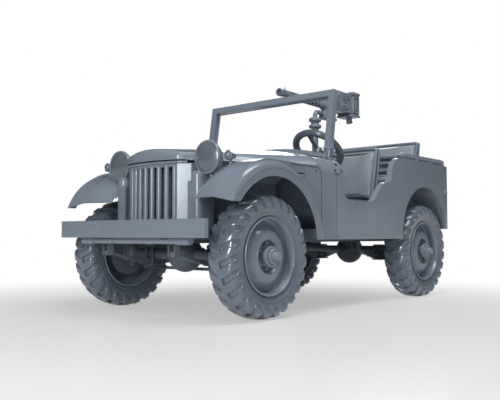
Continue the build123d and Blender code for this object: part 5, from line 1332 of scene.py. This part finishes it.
def make_floor_material():
    """Pale glossy floor round the car that fades to plain white away from it."""
    material = bpy.data.materials.new("studio_floor")
    material.use_nodes = True
    n = Nodes(material.node_tree)
    shader = {"Base Color": (0.84, 0.845, 0.855, 1.0), "Roughness": 0.24, "Specular IOR Level": 0.45}
    shader = n.add("ShaderNodeBsdfPrincipled", shader)
    white = n.add("ShaderNodeEmission", {"Color": (1.0, 1.0, 1.0, 1.0), "Strength": 1.0})
    where = n.add("ShaderNodeTexCoord").outputs["Object"]
    shift = n.add("ShaderNodeVectorMath", {0: where, 1: (0.9, 0.5, 0.0)}, operation="SUBTRACT")
    near = n.add("ShaderNodeVectorMath", {0: shift.outputs["Vector"]}, operation="LENGTH").outputs["Value"]
    span = {"From Min": 1.0, "From Max": 4.4, "To Min": 0.43, "Value": near}
    fade = n.add("ShaderNodeMapRange", span, interpolation_type="SMOOTHSTEP").outputs["Result"]
    rays = n.add("ShaderNodeLightPath").outputs
    # the car's lacquer mirrors less of the white than the camera sees
    mirrored = n.math("MULTIPLY", rays["Is Glossy Ray"], 0.45)
    seen = n.math("MAXIMUM", rays["Is Camera Ray"], mirrored)
    share = n.math("MULTIPLY", fade, n.math("MAXIMUM", seen, rays["Is Transmission Ray"]))
    mix = {"Fac": share, 1: shader.outputs["BSDF"], 2: white.outputs["Emission"]}
    mix = n.add("ShaderNodeMixShader", mix)
    n.add("ShaderNodeOutputMaterial", {"Surface": mix.outputs["Shader"]})
    return material


def make_world(level):
    """Soft white surroundings, plain white to the camera."""
    world = bpy.data.worlds.new("studio_world")
    world.use_nodes = True
    n = Nodes(world.node_tree)
    rays = n.add("ShaderNodeLightPath").outputs
    # glossy rays meet a darker room, so highlights stand out
    span = {"To Min": level, "To Max": level * 0.36, "Value": rays["Is Glossy Ray"]}
    strength = n.add("ShaderNodeMapRange", span).outputs["Result"]
    soft = n.add("ShaderNodeBackground", {"Color": (1.0, 1.0, 1.0, 1.0), "Strength": strength})
    seen = n.add("ShaderNodeBackground", {"Color": (1.0, 1.0, 1.0, 1.0), "Strength": 1.0})
    mix = {"Fac": rays["Is Camera Ray"], 1: soft.outputs["Background"], 2: seen.outputs["Background"]}
    mix = n.add("ShaderNodeMixShader", mix)
    n.add("ShaderNodeOutputWorld", {"Surface": mix.outputs["Shader"]})
    bpy.context.scene.world = world


def make_camera():
    look = studio_settings()
    camera = bpy.data.cameras.new("view")
    camera.sensor_fit = "HORIZONTAL"
    camera.sensor_width = 36.0
    camera.lens = look.camera_lens
    holder = bpy.data.objects.new("view", camera)
    holder.location = look.camera_place
    holder.rotation_euler = Euler((pi / 2 + look.camera_pitch, 0.0, look.camera_heading - pi / 2), "XYZ")
    bpy.context.scene.collection.objects.link(holder)
    bpy.context.scene.camera = holder


def make_stage():
    look = studio_settings()
    bpy.context.scene.view_settings.view_transform = "Standard"
    bm = bmesh.new()
    bmesh.ops.create_grid(bm, x_segments=1, y_segments=1, size=60.0)
    mesh = bpy.data.meshes.new("studio_floor")
    bm.to_mesh(mesh)
    bm.free()
    mesh.materials.append(make_floor_material())
    floor = bpy.data.objects.new("studio_floor", mesh)
    bpy.context.scene.collection.objects.link(floor)
    make_world(look.world_level)
    add_lamp("key", (0.8, 2.2, 5.2), (0, 0.1, 0.6), look.key_power, (4.4, 1.8))
    add_lamp("side", (6.2, 1.7, 2.4), (0.4, 0.3, 0.5), look.fill_power, (0.8, 2.6))
    # strips that only show as highlights in the lacquer
    for name, at, target, power, size in (
        ("strip_front", (6.4, 1.9, 1.9), (1.2, 0.7, 0.5), 105.0, (1.1, 3.2)),
        ("strip_back", (-5.2, -3.0, 3.4), (0.6, 0.3, 1.0), 85.0, (3.6, 1.3)),
    ):
        add_lamp(name, at, target, power * look.gloss_level, size).visible_diffuse = False
    make_camera()


# ---------------------------------------------------------------- operators
class CAR_OT_stage(bpy.types.Operator):
    """Build the floor, the lamps and the camera."""

    bl_idname = "car.stage"
    bl_label = "Studio"

    def execute(self, context):
        make_stage()
        return {"FINISHED"}


class CAR_OT_finishes(bpy.types.Operator):
    """Give paint, rubber, leather and glass to the car's parts."""

    bl_idname = "car.finishes"
    bl_label = "Finishes"

    def execute(self, context):
        finish_nodes()
        return {"FINISHED"}


class CAR_OT_wheels(bpy.types.Operator):
    """Add the tyres and the hardware of the four wheels."""

    bl_idname = "car.wheels"
    bl_label = "Wheels"

    def execute(self, context):
        for name in WHEELS:
            make_tyre(name)
            make_wheel_hardware(name)
        return {"FINISHED"}


class CAR_OT_body(bpy.types.Operator):
    """Add the body's sides, hood and rails, and the trim of its panels and lamps."""

    bl_idname = "car.body"
    bl_label = "Body"

    def execute(self, context):
        for side, hand in SIDES:
            make_side(side, hand)
        make_side_trim()
        make_hood()
        make_fender_trim()
        make_cowl_trim()
        make_screen_trim()
        make_top_rails()
        make_lamp_trim()
        return {"FINISHED"}


class CAR_OT_cab(bpy.types.Operator):
    """Add the seats' pads and tubes, the dials, pedals and levers."""

    bl_idname = "car.cab"
    bl_label = "Cab"

    def execute(self, context):
        make_front_seats()
        make_rear_seat()
        make_gauges()
        make_controls()
        return {"FINISHED"}


class CAR_OT_gun(bpy.types.Operator):
    """Add the detailed post, fork and gun."""

    bl_idname = "car.gun"
    bl_label = "Gun"

    def execute(self, context):
        make_gun_post()
        make_gun_cradle()
        make_gun()
        return {"FINISHED"}


OPERATORS = (CAR_OT_stage, CAR_OT_finishes, CAR_OT_wheels, CAR_OT_body, CAR_OT_cab, CAR_OT_gun)


class CAR_PT_panel(bpy.types.Panel):
    """Lists the car's building steps."""

    bl_idname = "CAR_PT_panel"
    bl_label = "Field Car"
    bl_space_type = "VIEW_3D"
    bl_region_type = "UI"
    bl_category = "Field Car"

    def draw(self, context):
        for operator in OPERATORS:
            self.layout.operator(operator.bl_idname)


CLASSES = (CarFinish, CarStudio, *OPERATORS, CAR_PT_panel)


def register():
    for kind in CLASSES:
        bpy.utils.register_class(kind)
    bpy.types.Scene.car_finish = bpy.props.PointerProperty(type=CarFinish)
    bpy.types.Scene.car_studio = bpy.props.PointerProperty(type=CarStudio)


def unregister():
    del bpy.types.Scene.car_studio
    del bpy.types.Scene.car_finish
    for kind in reversed(CLASSES):
        bpy.utils.unregister_class(kind)


def main():
    register()
    for operator in OPERATORS:
        family, step = operator.bl_idname.split(".")
        getattr(getattr(bpy.ops, family), step)()


if __name__ == "__main__":
    main()
